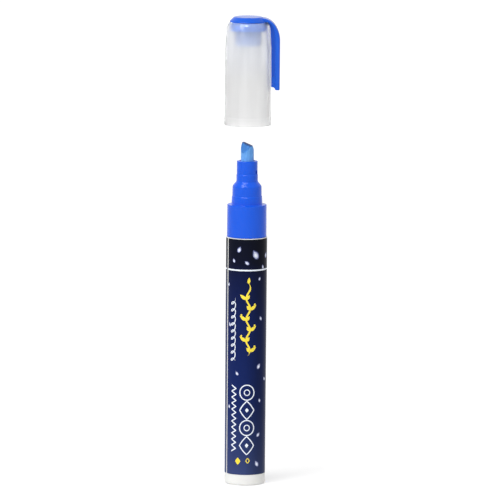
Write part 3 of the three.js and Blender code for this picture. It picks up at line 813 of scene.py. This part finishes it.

# %% [markdown]
# Soft pale drops lie scattered over the ground, large near the mouth and small elsewhere. Each is three
# shapes inside each other, hazy, pale and white, which reads as a soft edge. They are listed in a loose
# spread that goes all the way round.

# %% Pale drops
scatter = [
    (3.5, 86.2, 3.1, 0.5),
    (-2.7, 88.1, 2.0, -0.4),
    (-4.9, 83.9, 1.4, 0.3),
    (0.2, 83.2, 1.7, 0.9),
    (5.3, 77.2, 1.3, -0.3),
    (6.0, 62.4, 1.5, 0.4),
    (5.2, 44.6, 2.0, -0.5),
    (-3.3, 42.0, 1.5, 0.6),
    (5.7, 31.8, 1.4, 0.2),
    (5.2, 19.0, 1.7, -0.7),
    (4.6, 8.2, 2.1, 0.5),
]
haze, pale, cores = bmesh.new(), bmesh.new(), bmesh.new()
layers = ((haze, 1.0, 0.8), (pale, 0.76, 1.3), (cores, 0.4, 1.8))


def clear_of_seam(along, reach):
    """Whether a mark that reaches so far to each side stays off the label's seam."""
    lap = 2 * math.pi * BASE_RADIUS
    seam = -SEAM_TURN * BASE_RADIUS
    return abs((along - seam + lap / 2) % lap - lap / 2) > reach + SEAM_HALF


drops = 0
for turn_by, shift in ((0.0, 0.0), (11.9, 2.4), (BACK, 0.0), (34.8, 2.4)):
    for along, height, size, tilt in scatter:
        if not clear_of_seam(along + turn_by, size * 0.6):
            continue
        drops += 1
        for data, share, lift in layers:
            wide, tall = size * 0.78 * share, size * 1.25 * share
            sink = size * 0.12 * (1 - share)
            outline = oval(along + turn_by, height - shift - sink, wide, tall, tilt, drop=0.7)
            patch_on_label(data, outline, lift=LIFT * lift)
print_piece("drop_haze_print", haze, haze_ink)
print_piece("pale_drop_print", pale, pale_ink)
print_piece("drop_core_print", cores, white_ink)
print("drops", drops)

# %% [markdown]
# The front section is one blue moulding: a collar, a lower neck, a rounded shoulder and an upper neck. A
# fine ledge runs round each neck and catches the light. Inside the upper neck, ribs hold the nib and
# leave room for ink. The outside and the bore are turned in one go, the ribs are small bars, and the vent
# is really cut through the wall.

# %% Front section
NIB_RADIUS = 2.4
SPIGOT_BORE = 5.0
SPIGOT_RADIUS = 6.34
COLLAR_RADIUS = 7.33
LOWER_NECK_RADIUS = 5.46
collar_top = barrel_top + 12.0
lower_neck_top = collar_top + 6.7
upper_neck_bottom = lower_neck_top + 1.8
bore_bottom = barrel_top + 6.8
rib_radius = NIB_RADIUS + 0.1
bore_radius = rib_radius + 0.35
neck_radius = bore_radius + 1.0
ledge_low = collar_top + 3.1
ledge_high = upper_neck_bottom + 2.65
section_profile = rounded(
    [
        (SPIGOT_BORE, section_bottom, 0.1),
        (SPIGOT_RADIUS, section_bottom, 0.4),
        (SPIGOT_RADIUS, barrel_top + 0.1, 0.05),
        (COLLAR_RADIUS, barrel_top + 0.1, 0.12),
        (COLLAR_RADIUS - 0.05, collar_top, 0.28),
        (LOWER_NECK_RADIUS + 0.28, collar_top, 0.2),
        (LOWER_NECK_RADIUS + 0.16, ledge_low - 0.24, 0.02),
        (LOWER_NECK_RADIUS, ledge_low, 0.02),
        (LOWER_NECK_RADIUS - 0.08, lower_neck_top + 0.15, 0.5),
        (neck_radius + 0.3, upper_neck_bottom - 0.2, 0.6),
        (neck_radius + 0.13, upper_neck_bottom + 0.15, 0.2),
        (neck_radius + 0.14, ledge_high - 0.22, 0.02),
        (neck_radius + 0.01, ledge_high, 0.02),
        (neck_radius, section_top, 0.3),
        (bore_radius, section_top, 0.16),
        (bore_radius, bore_bottom, 0.05),
        (SPIGOT_BORE, bore_bottom, 0.1),
    ],
    closed=True,
    steps=5,
)
front_body = turned("front_body", section_profile, closed=True)
print("front section from", section_bottom, "to", section_top)

# %% Vent in the upper neck
VENT_WIDTH = 1.1
VENT_HEIGHT = 1.7
VENT_TURN = math.radians(-27)
half_width = VENT_WIDTH / 2
vent_profile = [(0, 2.0), (half_width, 2.0), (half_width, 6.0), (0, 6.0)]
vent = turned("vent_cutter", vent_profile, sides=32)
vent.modifiers.clear()
stretched = Matrix.Scale(VENT_HEIGHT / VENT_WIDTH, 4, (1, 0, 0))
laid_down = Matrix.Rotation(math.radians(90), 4, "Y")
faced = Matrix.Rotation(VENT_TURN, 4, "Z")
raised = Matrix.Translation((0, 0, (upper_neck_bottom + 3.5) * MM))
vent.data.transform(raised @ faced @ laid_down @ stretched)
cut_away(front_body, vent)
print("vent", VENT_WIDTH, "by", VENT_HEIGHT, "mm")


# %% Ribs in the neck
RIBS = 8
RIB_HALF = 0.35


def bar(name, low, high, edge):
    """A bar between two corners in millimetres, with its long edges eased."""
    data = bmesh.new()
    bmesh.ops.create_cube(data, size=1.0)
    for vert in data.verts:
        for axis in range(3):
            share = vert.co[axis] + 0.5
            vert.co[axis] = (low[axis] + (high[axis] - low[axis]) * share) * MM
    edges = list(data.edges)
    bmesh.ops.bevel(data, geom=edges, offset=edge * MM, segments=2, affect="EDGES", profile=0.5)
    return finish_piece(data, name)


ribs = []
for index in range(RIBS):
    low = (rib_radius, -RIB_HALF, bore_bottom + 0.5)
    high = (bore_radius + 0.15, RIB_HALF, section_top - 0.5)
    rib = bar(f"rib_{index}", low, high, 0.12)
    rib.data.transform(Matrix.Rotation(2 * math.pi * (index + 0.5) / RIBS, 4, "Z"))
    ribs.append(rib)
front = joined("front_moulding", [front_body, *ribs])
dress(front, blue_plastic)
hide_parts("front_section")
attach(front, "barrel")
print("ribs", len(ribs), "faces", len(front.data.polygons))

# %% [markdown]
# The nib is a rod of pressed fibre, cut to a chisel. Two slanting facets meet in a worn flat that slopes
# from the far left down to the near right. A rod is sliced by three planes, as the real one is ground,
# and the edges are eased a little because fibre wears.

# %% Nib
NIB_SLOPE = math.radians(11)
NIB_TURN = math.radians(-50)
NIB_FACET = math.radians(57)
NIB_FLAT_DEPTH = 0.7
NIB_SIDES = 56
NIB_WEAR = 0.09
NIB_EDGE_ANGLE = 20
nib_tip = section_top + 6.8


def facet_planes():
    """The two facets and the worn flat of the chisel, each as (direction, point on it)."""
    tilted = Matrix.Translation((NIB_RADIUS, 0, 0)) @ Matrix.Rotation(NIB_SLOPE, 4, "Y")
    low_level = nib_tip - 2 * NIB_RADIUS * math.tan(NIB_SLOPE)
    edge = Matrix.Translation((0, 0, low_level)) @ Matrix.Rotation(NIB_TURN, 4, "Z") @ tilted
    planes = []
    for tilt, rise in ((NIB_FACET, NIB_FLAT_DEPTH), (-NIB_FACET, NIB_FLAT_DEPTH), (0.0, 0.0)):
        direction = edge.to_3x3() @ Matrix.Rotation(tilt, 3, "X") @ Vector((0, 0, 1))
        planes.append((direction, edge.translation + Vector((0, 0, rise))))
    return planes


def eased(piece, width, segments, angle):
    """Rounds the edges that turn by more than an angle, by a width in millimetres."""
    ease = piece.modifiers.new("ease", "BEVEL")
    ease.width = width * MM
    ease.segments = segments
    ease.limit_method = "ANGLE"
    ease.angle_limit = math.radians(angle)
    return even_shading(piece)


def chisel_nib():
    """A rod with its tail narrowed, sliced into a chisel."""
    data = bmesh.new()
    levels = [(1.7, nib_bottom), (1.95, nib_bottom + 0.12)]
    levels += [(NIB_RADIUS, nib_bottom + 1.2 + step * 1.6) for step in range(18)]
    rings = [ring_of_points(data, radius, height, NIB_SIDES) for radius, height in levels]
    bridge(data, rings)
    data.faces.new(list(reversed(rings[0])))
    data.faces.new(rings[-1])
    for direction, point in facet_planes():
        geometry = [*data.verts, *data.edges, *data.faces]
        sliced = bmesh.ops.bisect_plane(
            data, geom=geometry, plane_co=point, plane_no=direction, clear_outer=True
        )
        rim = [edge for edge in sliced["geom_cut"] if isinstance(edge, bmesh.types.BMEdge)]
        bmesh.ops.edgenet_fill(data, edges=rim)
    for vert in data.verts:
        vert.co *= MM
    rod = finish_piece(data, "chisel_nib", NIB_EDGE_ANGLE)
    return eased(rod, NIB_WEAR, 3, NIB_EDGE_ANGLE)


nib_piece = chisel_nib()
print("nib tip at", nib_tip, "faces", len(nib_piece.data.polygons))

# %% [markdown]
# The fibre drinks blue ink. Its round skin is pale, the two cut facets are deeper, and the worn edge is
# nearly black, because ink gathers there. Streaks run along the rod. A dot product with a facet's own
# direction tells how near a point is to the facet's plane, which holds from every side and needs no
# painting.

# %% Nib material
fibre, tree, surface = new_material("inked fibre")
streaks = noise(tree, drawn_out(tree, 0.09), 4200.0, 4.0, 0.65)
blots = noise(tree, object_place(tree), 900.0, 3.0)


def nearness(plane, fade):
    """A mask that is one on a plane and falls to nothing at a distance below it, with blotted limits."""
    direction, on_plane = plane
    inputs = {0: object_place(tree), 1: direction}
    facing = add(tree, "ShaderNodeVectorMath", inputs, operation="DOT_PRODUCT").outputs["Value"]
    uneven = result_of(tree, "MULTIPLY_ADD", blots, fade * 0.7, facing)
    level_there = direction.dot(on_plane) * MM
    return rescaled(tree, uneven, level_there - fade * 0.65, level_there + fade * 0.35)


left_facet, right_facet, worn_flat = facet_planes()
cuts = result_of(tree, "MAXIMUM", nearness(left_facet, 0.28 * MM), nearness(right_facet, 0.28 * MM))
tone = blended(tree, colour(112, 176, 240), colour(92, 158, 228), nearness(worn_flat, 9 * MM))
tone = blended(tree, tone, colour(48, 124, 204), cuts)
tone = blended(tree, tone, colour(16, 40, 104), nearness(worn_flat, 0.6 * MM))
fibre_tone = ramp(tree, streaks, {0.3: (196, 208, 224), 0.6: (255, 255, 255)})
bump = add(tree, "ShaderNodeBump", {"Height": streaks, "Strength": 0.8, "Distance": 0.06 * MM})
look = {
    "Base Color": blended(tree, tone, fibre_tone, 0.8, "MULTIPLY"),
    "Roughness": 0.85,
    "Sheen Weight": 0.25,
    "Normal": bump.outputs["Normal"],
}
feed(tree, surface, look)
dress(nib_piece, fibre)
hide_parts("nib")
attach(nib_piece, "pump")
print("nib material with", len(tree.nodes), "nodes")

# %% [markdown]
# The cap's shell is a frosted tube with a soft bead at its mouth, a long drawn-in top and a round
# shoulder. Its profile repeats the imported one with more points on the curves. Heights are counted from
# the mouth.

# %% Cap shell
MOUTH_BEAD = 0.1
SHELL_WALL = 0.95
TAPER_LEVEL = 28.6
SHOULDER_ROUND = 3.7
DISC_OVERHANG = 0.16
shell_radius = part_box("cap_shell")[1][1] / MM - MOUTH_BEAD
shell_bore = shell_radius - SHELL_WALL
shell_top = level("cap_shell", True) - cap_mouth
disc_radius = -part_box("cap_clip")[0][0] / MM
plug_radius = disc_radius - DISC_OVERHANG
top_bore = plug_radius + 0.05
shoulder_centre = shell_radius - 0.5 - SHOULDER_ROUND
shoulder_sweep = math.acos((top_bore - shoulder_centre) / SHOULDER_ROUND)
shoulder_level = shell_top - SHOULDER_ROUND * math.sin(shoulder_sweep)


def curve(centre_x, centre_z, width, height, start, end, steps):
    """Points on a part of an oval, from one angle to another."""
    points = []
    for step in range(steps + 1):
        angle = start + (end - start) * step / steps
        points.append((centre_x + width * math.cos(angle), centre_z + height * math.sin(angle)))
    return points


def shoulder_curve(reach, start, end, steps):
    """Points round the shoulder's own middle, at a distance."""
    return curve(shoulder_centre, shoulder_level, reach, reach, start, end, steps)


shell_profile = rounded(
    [
        (shell_bore, 0, 0.1),
        (shell_radius + MOUTH_BEAD, 0, 0.2),
        (shell_radius + MOUTH_BEAD, 2.6, 0.5),
        (shell_radius, 3.1, 0.5),
        (shell_radius - 0.1, TAPER_LEVEL, 3.0),
        *[(x, z, 0) for x, z in shoulder_curve(SHOULDER_ROUND, 0, shoulder_sweep, 12)],
        (top_bore, shell_top, 0),
        (top_bore, shell_top - 3.25, 0.2),
        (shell_bore - 0.5, shell_top - 4.2, 0.6),
        (shell_bore - 0.1, TAPER_LEVEL, 2.0),
        (shell_bore, 3.9, 0.4),
        (shell_bore - 0.1, 2.8, 0.3),
        (shell_bore - 0.1, 1.8, 0.3),
        (shell_bore, 1.3, 0.3),
    ],
    closed=True,
    steps=5,
)
frosted_shell = turned("frosted_shell", shell_profile, closed=True, sides=144, raise_by=cap_mouth)
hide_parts("cap_shell")
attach(frosted_shell, "cap")
print("shell faces", len(frosted_shell.data.polygons))

# %% [markdown]
# Frosted plastic lets light through but blurs it, so the blue plug close behind it shows as a soft zone,
# and things further in vanish. Mixing in transparency would leave them sharp. A rough transmission with a
# share of plain scattering gives the real milky look. A mask by height makes the lower part greyer. One
# by how edge-on the wall is seen could make its edges paler, but such a colour would slide as the camera
# moves, so the light does it. A glossy coat at half strength gives the glint on the shoulder.

# %% Frosted material
GREY_BELOW = (cap_mouth + 16.0) * MM
CLEAR_ABOVE = (cap_mouth + 26.0) * MM


def frosted(name, tone, low_tone, transmission, roughness, density, gloss):
    """Milky plastic that passes light and blurs it, with faint draw marks along it."""
    material, tree, surface = new_material(name)
    marks = noise(tree, drawn_out(tree, 0.05), 520.0, 3.0)
    up = rescaled(tree, place_along(tree, "Z"), GREY_BELOW, CLEAR_ABOVE)
    by_height = ramp(tree, up, {0.0: low_tone, 1.0: tone})
    streaks = ramp(tree, marks, {0.35: (247, 247, 247), 0.62: (255, 255, 255)})
    drifted(tree, surface, blended(tree, by_height, streaks, 1.0, "MULTIPLY"), 0.03)
    skinned(tree, surface, 700, 0.0002, roughness, 0.04)
    feed(tree, surface, {"Transmission Weight": transmission, "IOR": density})
    feed(tree, surface, {"Coat Weight": gloss, "Coat IOR": 2.0, "Coat Roughness": 0.1})
    return material


shell_plastic = frosted("frosted cap plastic", (247, 248, 250), (239, 239, 239), 0.9, 0.6, 1.1, 0.5)
liner_plastic = frosted("milky liner plastic", (254, 254, 255), (254, 254, 255), 0.96, 0.35, 1.04, 0.1)
dress(frosted_shell, shell_plastic)
print("frosted plastics ready")

# %% [markdown]
# The liner is the small inner cap that keeps the nib from drying. It pushes over the sleeve of the blue
# moulding and flares at its mouth. It is only guessed at through the shell, yet it makes the cap's middle
# look milky.

# %% Cap liner
LINER_RADIUS, LINER_BORE, LINER_COLLAR = 5.03, 4.33, 5.6
LINER_STEP = 28.5
liner_top = level("cap_liner", True) - cap_mouth
liner_mouth = level("cap_liner", False) - cap_mouth
liner_profile = rounded(
    [
        (5.6, liner_mouth, 0.15),
        (6.3, liner_mouth, 0.25),
        (LINER_RADIUS, liner_mouth + 3.3, 0.8),
        (LINER_RADIUS, LINER_STEP, 0.5),
        (LINER_COLLAR, LINER_STEP + 0.7, 0.4),
        (LINER_COLLAR, liner_top, 0.15),
        (LINER_COLLAR - 0.7, liner_top, 0.15),
        (LINER_COLLAR - 0.7, LINER_STEP + 0.7, 0.1),
        (LINER_BORE, LINER_STEP + 0.7, 0.1),
        (LINER_BORE, liner_mouth + 5.3, 0.3),
        (LINER_BORE - 0.25, liner_mouth + 5.0, 0.3),
        (LINER_BORE - 0.25, liner_mouth + 2.6, 0.4),
    ],
    closed=True,
)
milky_liner = turned("milky_liner", liner_profile, closed=True, sides=96, raise_by=cap_mouth)
dress(milky_liner, liner_plastic)
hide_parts("cap_liner")
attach(milky_liner, "cap")
print("liner from", round(liner_mouth, 2), "to", round(liner_top, 2), "above the mouth")

# %% [markdown]
# The blue end of the cap is one moulding: a disc with a slanting flank, a plug skirt, a hollow sleeve and
# the clip's arm. The disc and what hangs from it are turned. The arm is a strap that leaves the disc in a
# wide curve and runs down beside the shell, with a narrower rib on its inner side and a toe near its end.

# %% Disc, plug skirt and sleeve
DISC_THICKNESS = 1.85
FLANK_WIDTH = 1.6
SLEEVE_RADIUS, SLEEVE_BORE, SLEEVE_REACH = 4.85, 3.75, 8.7
SKIRT_WALL = 0.75
disc_bottom = shell_top + 0.05
disc_top = disc_bottom + DISC_THICKNESS
disc_profile = rounded(
    [
        (0, shell_top - 1.1, 0),
        (SLEEVE_BORE, shell_top - 1.1, 0.2),
        (SLEEVE_BORE, shell_top - SLEEVE_REACH, 0.1),
        (SLEEVE_RADIUS, shell_top - SLEEVE_REACH, 0.15),
        (SLEEVE_RADIUS, disc_bottom - 0.5, 0.1),
        (plug_radius - SKIRT_WALL, disc_bottom - 0.5, 0.1),
        (plug_radius - SKIRT_WALL, shell_top - 3.2, 0.1),
        (plug_radius, shell_top - 3.2, 0.15),
        (plug_radius, disc_bottom, 0),
        (disc_radius, disc_bottom, 0.04),
        (disc_radius, disc_bottom + 0.3, 0.35),
        (disc_radius - FLANK_WIDTH, disc_top, 0.6),
        (0, disc_top, 0),
    ]
)
disc = turned("disc_and_plug", disc_profile, raise_by=cap_mouth)
print("disc radius", round(disc_radius, 3), "top", round(disc_top + cap_mouth, 2))


# %% Clip arm
NARROWING = 18.0
PLATE_ANGLE = 50


def side_plate(name, outline, width, edge, segments, end_width=None):
    """An outline in the X-Z plane, counted from the mouth, with a width along Y and eased edges.
    It narrows to the end width at its lower end."""
    data = bmesh.new()
    sheets = []
    for side in (-0.5, 0.5):
        sheet = []
        for x, z in outline:
            wide = width
            if end_width is not None:
                share = min(1.0, max(0.0, (z - outline[0][1]) / NARROWING))
                wide = end_width + (width - end_width) * share * share * (3 - 2 * share)
            sheet.append(data.verts.new((x * MM, side * wide * MM, (z + cap_mouth) * MM)))
        sheets.append(sheet)
    near, far = sheets
    bridge(data, sheets)
    data.faces.new(list(reversed(near)))
    data.faces.new(far)
    return eased(finish_piece(data, name, PLATE_ANGLE), edge, segments, PLATE_ANGLE)


CLIP_END = 13.0
CLIP_THICKNESS = 1.75
BEND_WIDTH, BEND_HEIGHT = 6.6, 8.4
QUARTER = math.pi / 2
clip_outer = shell_radius + 3.2
clip_inner = clip_outer - CLIP_THICKNESS
arc_level = disc_top - 0.3 - BEND_HEIGHT
inner_centre = disc_radius + 0.05
inner_height = disc_bottom - arc_level
strap_outline = [
    (clip_inner, CLIP_END),
    (clip_outer, CLIP_END),
    *curve(clip_outer - BEND_WIDTH, arc_level, BEND_WIDTH, BEND_HEIGHT, 0, QUARTER, 22),
    (SLEEVE_BORE, disc_top - 0.3),
    (SLEEVE_BORE, disc_bottom),
    *curve(inner_centre, arc_level, clip_inner - inner_centre, inner_height, QUARTER, 0, 18),
]
strap = side_plate("clip_strap", strap_outline, 6.2, 0.45, 4, end_width=5.0)
print("strap reaches", round(clip_outer, 2), "mm from the axis")

# %% Clip rib and toe
RIB_GAP = 0.06
TOE_ROUND = 0.9
WELD_DEPTH = 0.4
weld = clip_inner + WELD_DEPTH
toe_bottom = CLIP_END + 1.1
toe_top = toe_bottom + 4.6
rib_side = shell_radius + RIB_GAP
rib_outline = [
    (rib_side, toe_bottom + TOE_ROUND),
    (weld, toe_bottom + TOE_ROUND),
    *curve(inner_centre, arc_level, weld - inner_centre, inner_height + WELD_DEPTH, 0, QUARTER, 14),
    *shoulder_curve(SHOULDER_ROUND + RIB_GAP, shoulder_sweep, 0, 10),
    (rib_side - 0.1, TAPER_LEVEL),
]
clip_rib = side_plate("clip_rib", rib_outline, 2.4, 0.12, 2)
toe_outline = [
    (rib_side, toe_top - TOE_ROUND),
    (rib_side, toe_bottom),
    *curve(clip_inner - TOE_ROUND, toe_bottom - TOE_ROUND, TOE_ROUND, TOE_ROUND, QUARTER, 0, 8),
    (weld, toe_bottom - TOE_ROUND),
    (weld, toe_top),
    (clip_inner, toe_top),
]
clip_toe = side_plate("clip_toe", toe_outline, 4.0, 0.2, 3)
clip_moulding = joined("clip_moulding", [disc, strap, clip_rib, clip_toe])
print("clip moulding faces", len(clip_moulding.data.polygons))

# %% [markdown]
# The arm and the disc are thick and deep blue. The skirt and the sleeve inside the cap have thin walls that
# let light through and look much paler. Real light through them would take long to render, so it is painted
# in as a paler blue. They lie within the shell's bore and below the disc, and their place tells them apart.

# %% Clip plastic with light painted into its thin walls
DEEP_BLUE = (10, 86, 204)


def deep_blue_and_painted_glow(tree):
    """Deep blue, or within the shell's bore a paler blue painted in for the light through the thin walls,
    by height.
    """
    inputs = {0: object_place(tree), 1: (1, 1, 0)}
    flat = add(tree, "ShaderNodeVectorMath", inputs, operation="MULTIPLY").outputs["Vector"]
    outward = add(tree, "ShaderNodeVectorMath", {0: flat}, operation="LENGTH").outputs["Value"]
    within = result_of(tree, "LESS_THAN", outward, shell_bore * MM)
    sleeve_end = (cap_mouth + shell_top - SLEEVE_REACH) * MM
    up = rescaled(tree, place_along(tree, "Z"), sleeve_end, (cap_mouth + disc_bottom) * MM)
    # Painted light: the thin walls are paler where light would shine through them.
    painted_glow_through = {
        0.0: (188, 208, 246),
        0.5: (122, 162, 236),
        0.62: (96, 152, 230),
        0.64: (6, 124, 226),
        0.96: (4, 112, 216),
        1.0: DEEP_BLUE,
    }
    return blended(tree, colour(*DEEP_BLUE), ramp(tree, up, painted_glow_through), within)


clip_plastic = plastic("blue clip plastic", deep_blue_and_painted_glow, 0.17, 800, 0.002, 0.06, gloss=1.35)
dress(clip_moulding, clip_plastic)
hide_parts("cap_clip")
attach(clip_moulding, "cap")
print("clip plastic nodes", len(clip_plastic.node_tree.nodes))

# %% [markdown]
# Inside the barrel sits the valve. Its spring is a wound wire, so its twin is a real coil swept from a
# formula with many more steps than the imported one. When the nib is pressed in by 2.5 mm, the coil gets as
# much shorter towards its foot.

# %% Valve spring
WIRE = 0.25
WIRE_SIDES = 12
WIRE_ANGLE = 50
COIL_RADIUS = 2.1
COIL_TURNS = 6
TURN_STEPS = 36
spring_low = level("valve_spring", False)
spring_high = level("valve_spring", True)
spring_length = spring_high - spring_low


def coil():
    """A wire of round section along a helix."""
    data = bmesh.new()
    steps = COIL_TURNS * TURN_STEPS
    rise = spring_length - 2 * WIRE
    rings = []
    for step in range(steps + 1):
        share = step / steps
        angle = 2 * math.pi * COIL_TURNS * share
        outward = Vector((math.cos(angle), math.sin(angle), 0))
        centre = outward * COIL_RADIUS + Vector((0, 0, spring_low + WIRE + rise * share))
        ring = []
        for side in range(WIRE_SIDES):
            around = 2 * math.pi * side / WIRE_SIDES
            offset = outward * math.cos(around) * WIRE + Vector((0, 0, math.sin(around) * WIRE))
            ring.append(data.verts.new((centre + offset) * MM))
        rings.append(ring)
    bridge(data, rings)
    data.faces.new(rings[0])
    data.faces.new(list(reversed(rings[-1])))
    return finish_piece(data, "valve_coil", WIRE_ANGLE)


valve_coil = coil()
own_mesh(valve_coil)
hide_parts("valve_spring")
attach(valve_coil, "barrel")
print("coil length", round(spring_length, 2))

# %% [markdown]
# The mixing balls are ground steel, polished but with fine scratches from rolling. A mirror would look
# false, so a broad noise breaks the gloss and a fine one dulls it.

# %% Metals and mixing balls
BALL_RADIUS = 2.75
BALL_ANGLE = 80


def metal(name, tone, roughness, grain, depth):
    """Bare metal with a soft unevenness."""
    material, tree, surface = new_material(name)
    drifted(tree, surface, tone, 0.08)
    skinned(tree, surface, grain, depth, roughness, 0.12, 0.2)
    feed(tree, surface, {"Metallic": 1.0})
    return material


steel = metal("polished ball steel", colour(206, 208, 212), 0.16, 500, 0.002)
wire_steel = metal("drawn spring wire", colour(196, 198, 202), 0.26, 1600, 0.003)
dress(valve_coil, wire_steel)
for number in (1, 2):
    low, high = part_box(f"mixing_ball_{number}")
    data = bmesh.new()
    bmesh.ops.create_uvsphere(data, u_segments=40, v_segments=24, radius=BALL_RADIUS * MM)
    bmesh.ops.translate(data, verts=data.verts, vec=(Vector(low) + Vector(high)) / 2)
    ball = finish_piece(data, f"steel_ball_{number}", BALL_ANGLE)
    dress(ball, steel)
    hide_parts(f"mixing_ball_{number}")
    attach(ball, f"ball_{number}")
print("two balls of", 2 * BALL_RADIUS, "mm")

# %% [markdown]
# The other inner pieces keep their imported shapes, because turned rings and a slotted cup are right as
# they are. Plastic without a dye and matt rubber are their finishes.

# %% Finishes of the inner pieces
natural = plastic("natural valve plastic", colour(228, 228, 224), 0.4, inner=0.2)
cage_plastic = plastic("natural cage plastic", colour(222, 224, 220), 0.48, 700, 0.006, inner=0.2)
rubber = plastic("matt seal rubber", colour(40, 40, 42), 0.72, 1400, 0.01, 0.1)
kept = {
    "valve_seat": natural,
    "valve_stem": natural,
    "valve_cage": cage_plastic,
    "seat_gasket": rubber,
    "stem_seal": rubber,
    "section_seal_ring": rubber,
}
for node, material in kept.items():
    dress(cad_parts[node], material)
print("kept nodes", sorted(kept))

# %% [markdown]
# The picture is taken on a pale floor in an even studio. The floor has to look white without throwing
# more light on the marker, so it glows a little only where the camera, a reflection or a clear thing
# shows it, and it stays a plain surface for all else. Far off, where the lamps don't reach, it glows
# more. The marker's soft shadow stays.

# %% Floor
WHITE = (1, 1, 1, 1)


def shown_rays(tree):
    """One for what the camera, gloss and clear things show, and nothing for all other light."""
    path = add(tree, "ShaderNodeLightPath").outputs
    seen = result_of(tree, "MAXIMUM", path["Is Camera Ray"], path["Is Glossy Ray"])
    return result_of(tree, "MAXIMUM", seen, path["Is Transmission Ray"])


floor_data = bmesh.new()
for x, y in ((-4, -4), (4, -4), (4, 6), (-4, 6)):
    floor_data.verts.new((x, y, -0.02 * MM))
floor_data.faces.new(floor_data.verts)
floor = finish_piece(floor_data, "studio_floor")
floor_material = bpy.data.materials.new("pale studio floor")
tree = empty_tree(floor_material)
away = add(tree, "ShaderNodeVectorMath", {0: object_place(tree)}, operation="LENGTH").outputs["Value"]
glow_strength = rescaled(tree, away, 0.05, 1.2, 0.52, 0.72)
glow = add(tree, "ShaderNodeEmission", {"Color": WHITE, "Strength": glow_strength})
dim = add(tree, "ShaderNodeBsdfDiffuse", {"Color": colour(200, 200, 200)})
plain = add(tree, "ShaderNodeBsdfDiffuse", {"Color": colour(232, 232, 232)})
bright = add(tree, "ShaderNodeAddShader", {0: dim.outputs["BSDF"], 1: glow.outputs["Emission"]})
choice = {"Fac": shown_rays(tree), 1: plain.outputs["BSDF"], 2: bright.outputs["Shader"]}
chosen = add(tree, "ShaderNodeMixShader", choice)
add(tree, "ShaderNodeOutputMaterial", {"Surface": chosen.outputs["Shader"]})
dress(floor, floor_material)
print("floor ready")

# %% [markdown]
# The world gives an even light from all round, and shows as white to the camera, to gloss and through
# clear things. On top of it a large soft lamp stands at the front left, as the bright left sides show, a
# weak one keeps the right edge from going dark, and a strong one high on the left makes the glints on
# shoulders and ledges.

# %% World and lamps
world = bpy.data.worlds.new("studio")
bpy.context.scene.world = world
tree = empty_tree(world)
sky_strength = rescaled(tree, shown_rays(tree), 0.0, 1.0, 0.55, 1.0)
sky = add(tree, "ShaderNodeBackground", {"Color": WHITE, "Strength": sky_strength})
add(tree, "ShaderNodeOutputWorld", {"Surface": sky.outputs["Background"]})


def soft_lamp(name, place, target, wide, tall, power):
    """A rectangular lamp that points at a place on the marker."""
    light = bpy.data.lights.new(name, "AREA")
    light.shape = "RECTANGLE"
    light.size = wide
    light.size_y = tall
    light.energy = power
    lamp = bpy.data.objects.new(name, light)
    lamp.location = place
    heading = Vector(target) - Vector(place)
    lamp.rotation_euler = heading.to_track_quat("-Z", "Y").to_euler()
    bpy.context.scene.collection.objects.link(lamp)


soft_lamp("front_left_lamp", (-0.75, -0.95, 0.75), (0, 0, 0.09), 0.55, 0.8, 4.6)
soft_lamp("right_fill_lamp", (1.1, -0.9, 0.5), (0, 0, 0.09), 0.5, 0.8, 0.25)
soft_lamp("high_lamp", (-0.34, -0.56, 1.15), (0, 0, 0.12), 0.8, 0.45, 8.8)
print("lamps", [light.name for light in bpy.data.lights])

# %% [markdown]
# The photograph was taken from near by, slightly above the marker and with a hair of tilt. A long lens
# far away keeps the upright lines parallel, as they are in the picture, and one height of view has to
# serve for the cap, the nib and the foot.

# %% Camera
ELEVATION = math.radians(8)
ROLL = math.radians(0.48)
DISTANCE = 2.5
aim = Vector((0.00127, 0, 0.0870))
camera_data = bpy.data.cameras.new("long_lens")
camera_data.lens = 488
camera_data.sensor_width = 36
camera_data.clip_end = 20
camera = bpy.data.objects.new("camera", camera_data)
offset = Vector((0, -math.cos(ELEVATION), math.sin(ELEVATION))) * DISTANCE
look = Matrix.Rotation(math.pi / 2 - ELEVATION, 4, "X") @ Matrix.Rotation(ROLL, 4, "Z")
camera.matrix_world = Matrix.Translation(aim + offset) @ look
bpy.context.scene.collection.objects.link(camera)
bpy.context.scene.camera = camera
print("camera at", [round(part, 3) for part in camera.location])

# %% [markdown]
# The view transform is the plain one, so a colour comes out as it is written.

# %% View transform
bpy.context.scene.view_settings.view_transform = "Standard"
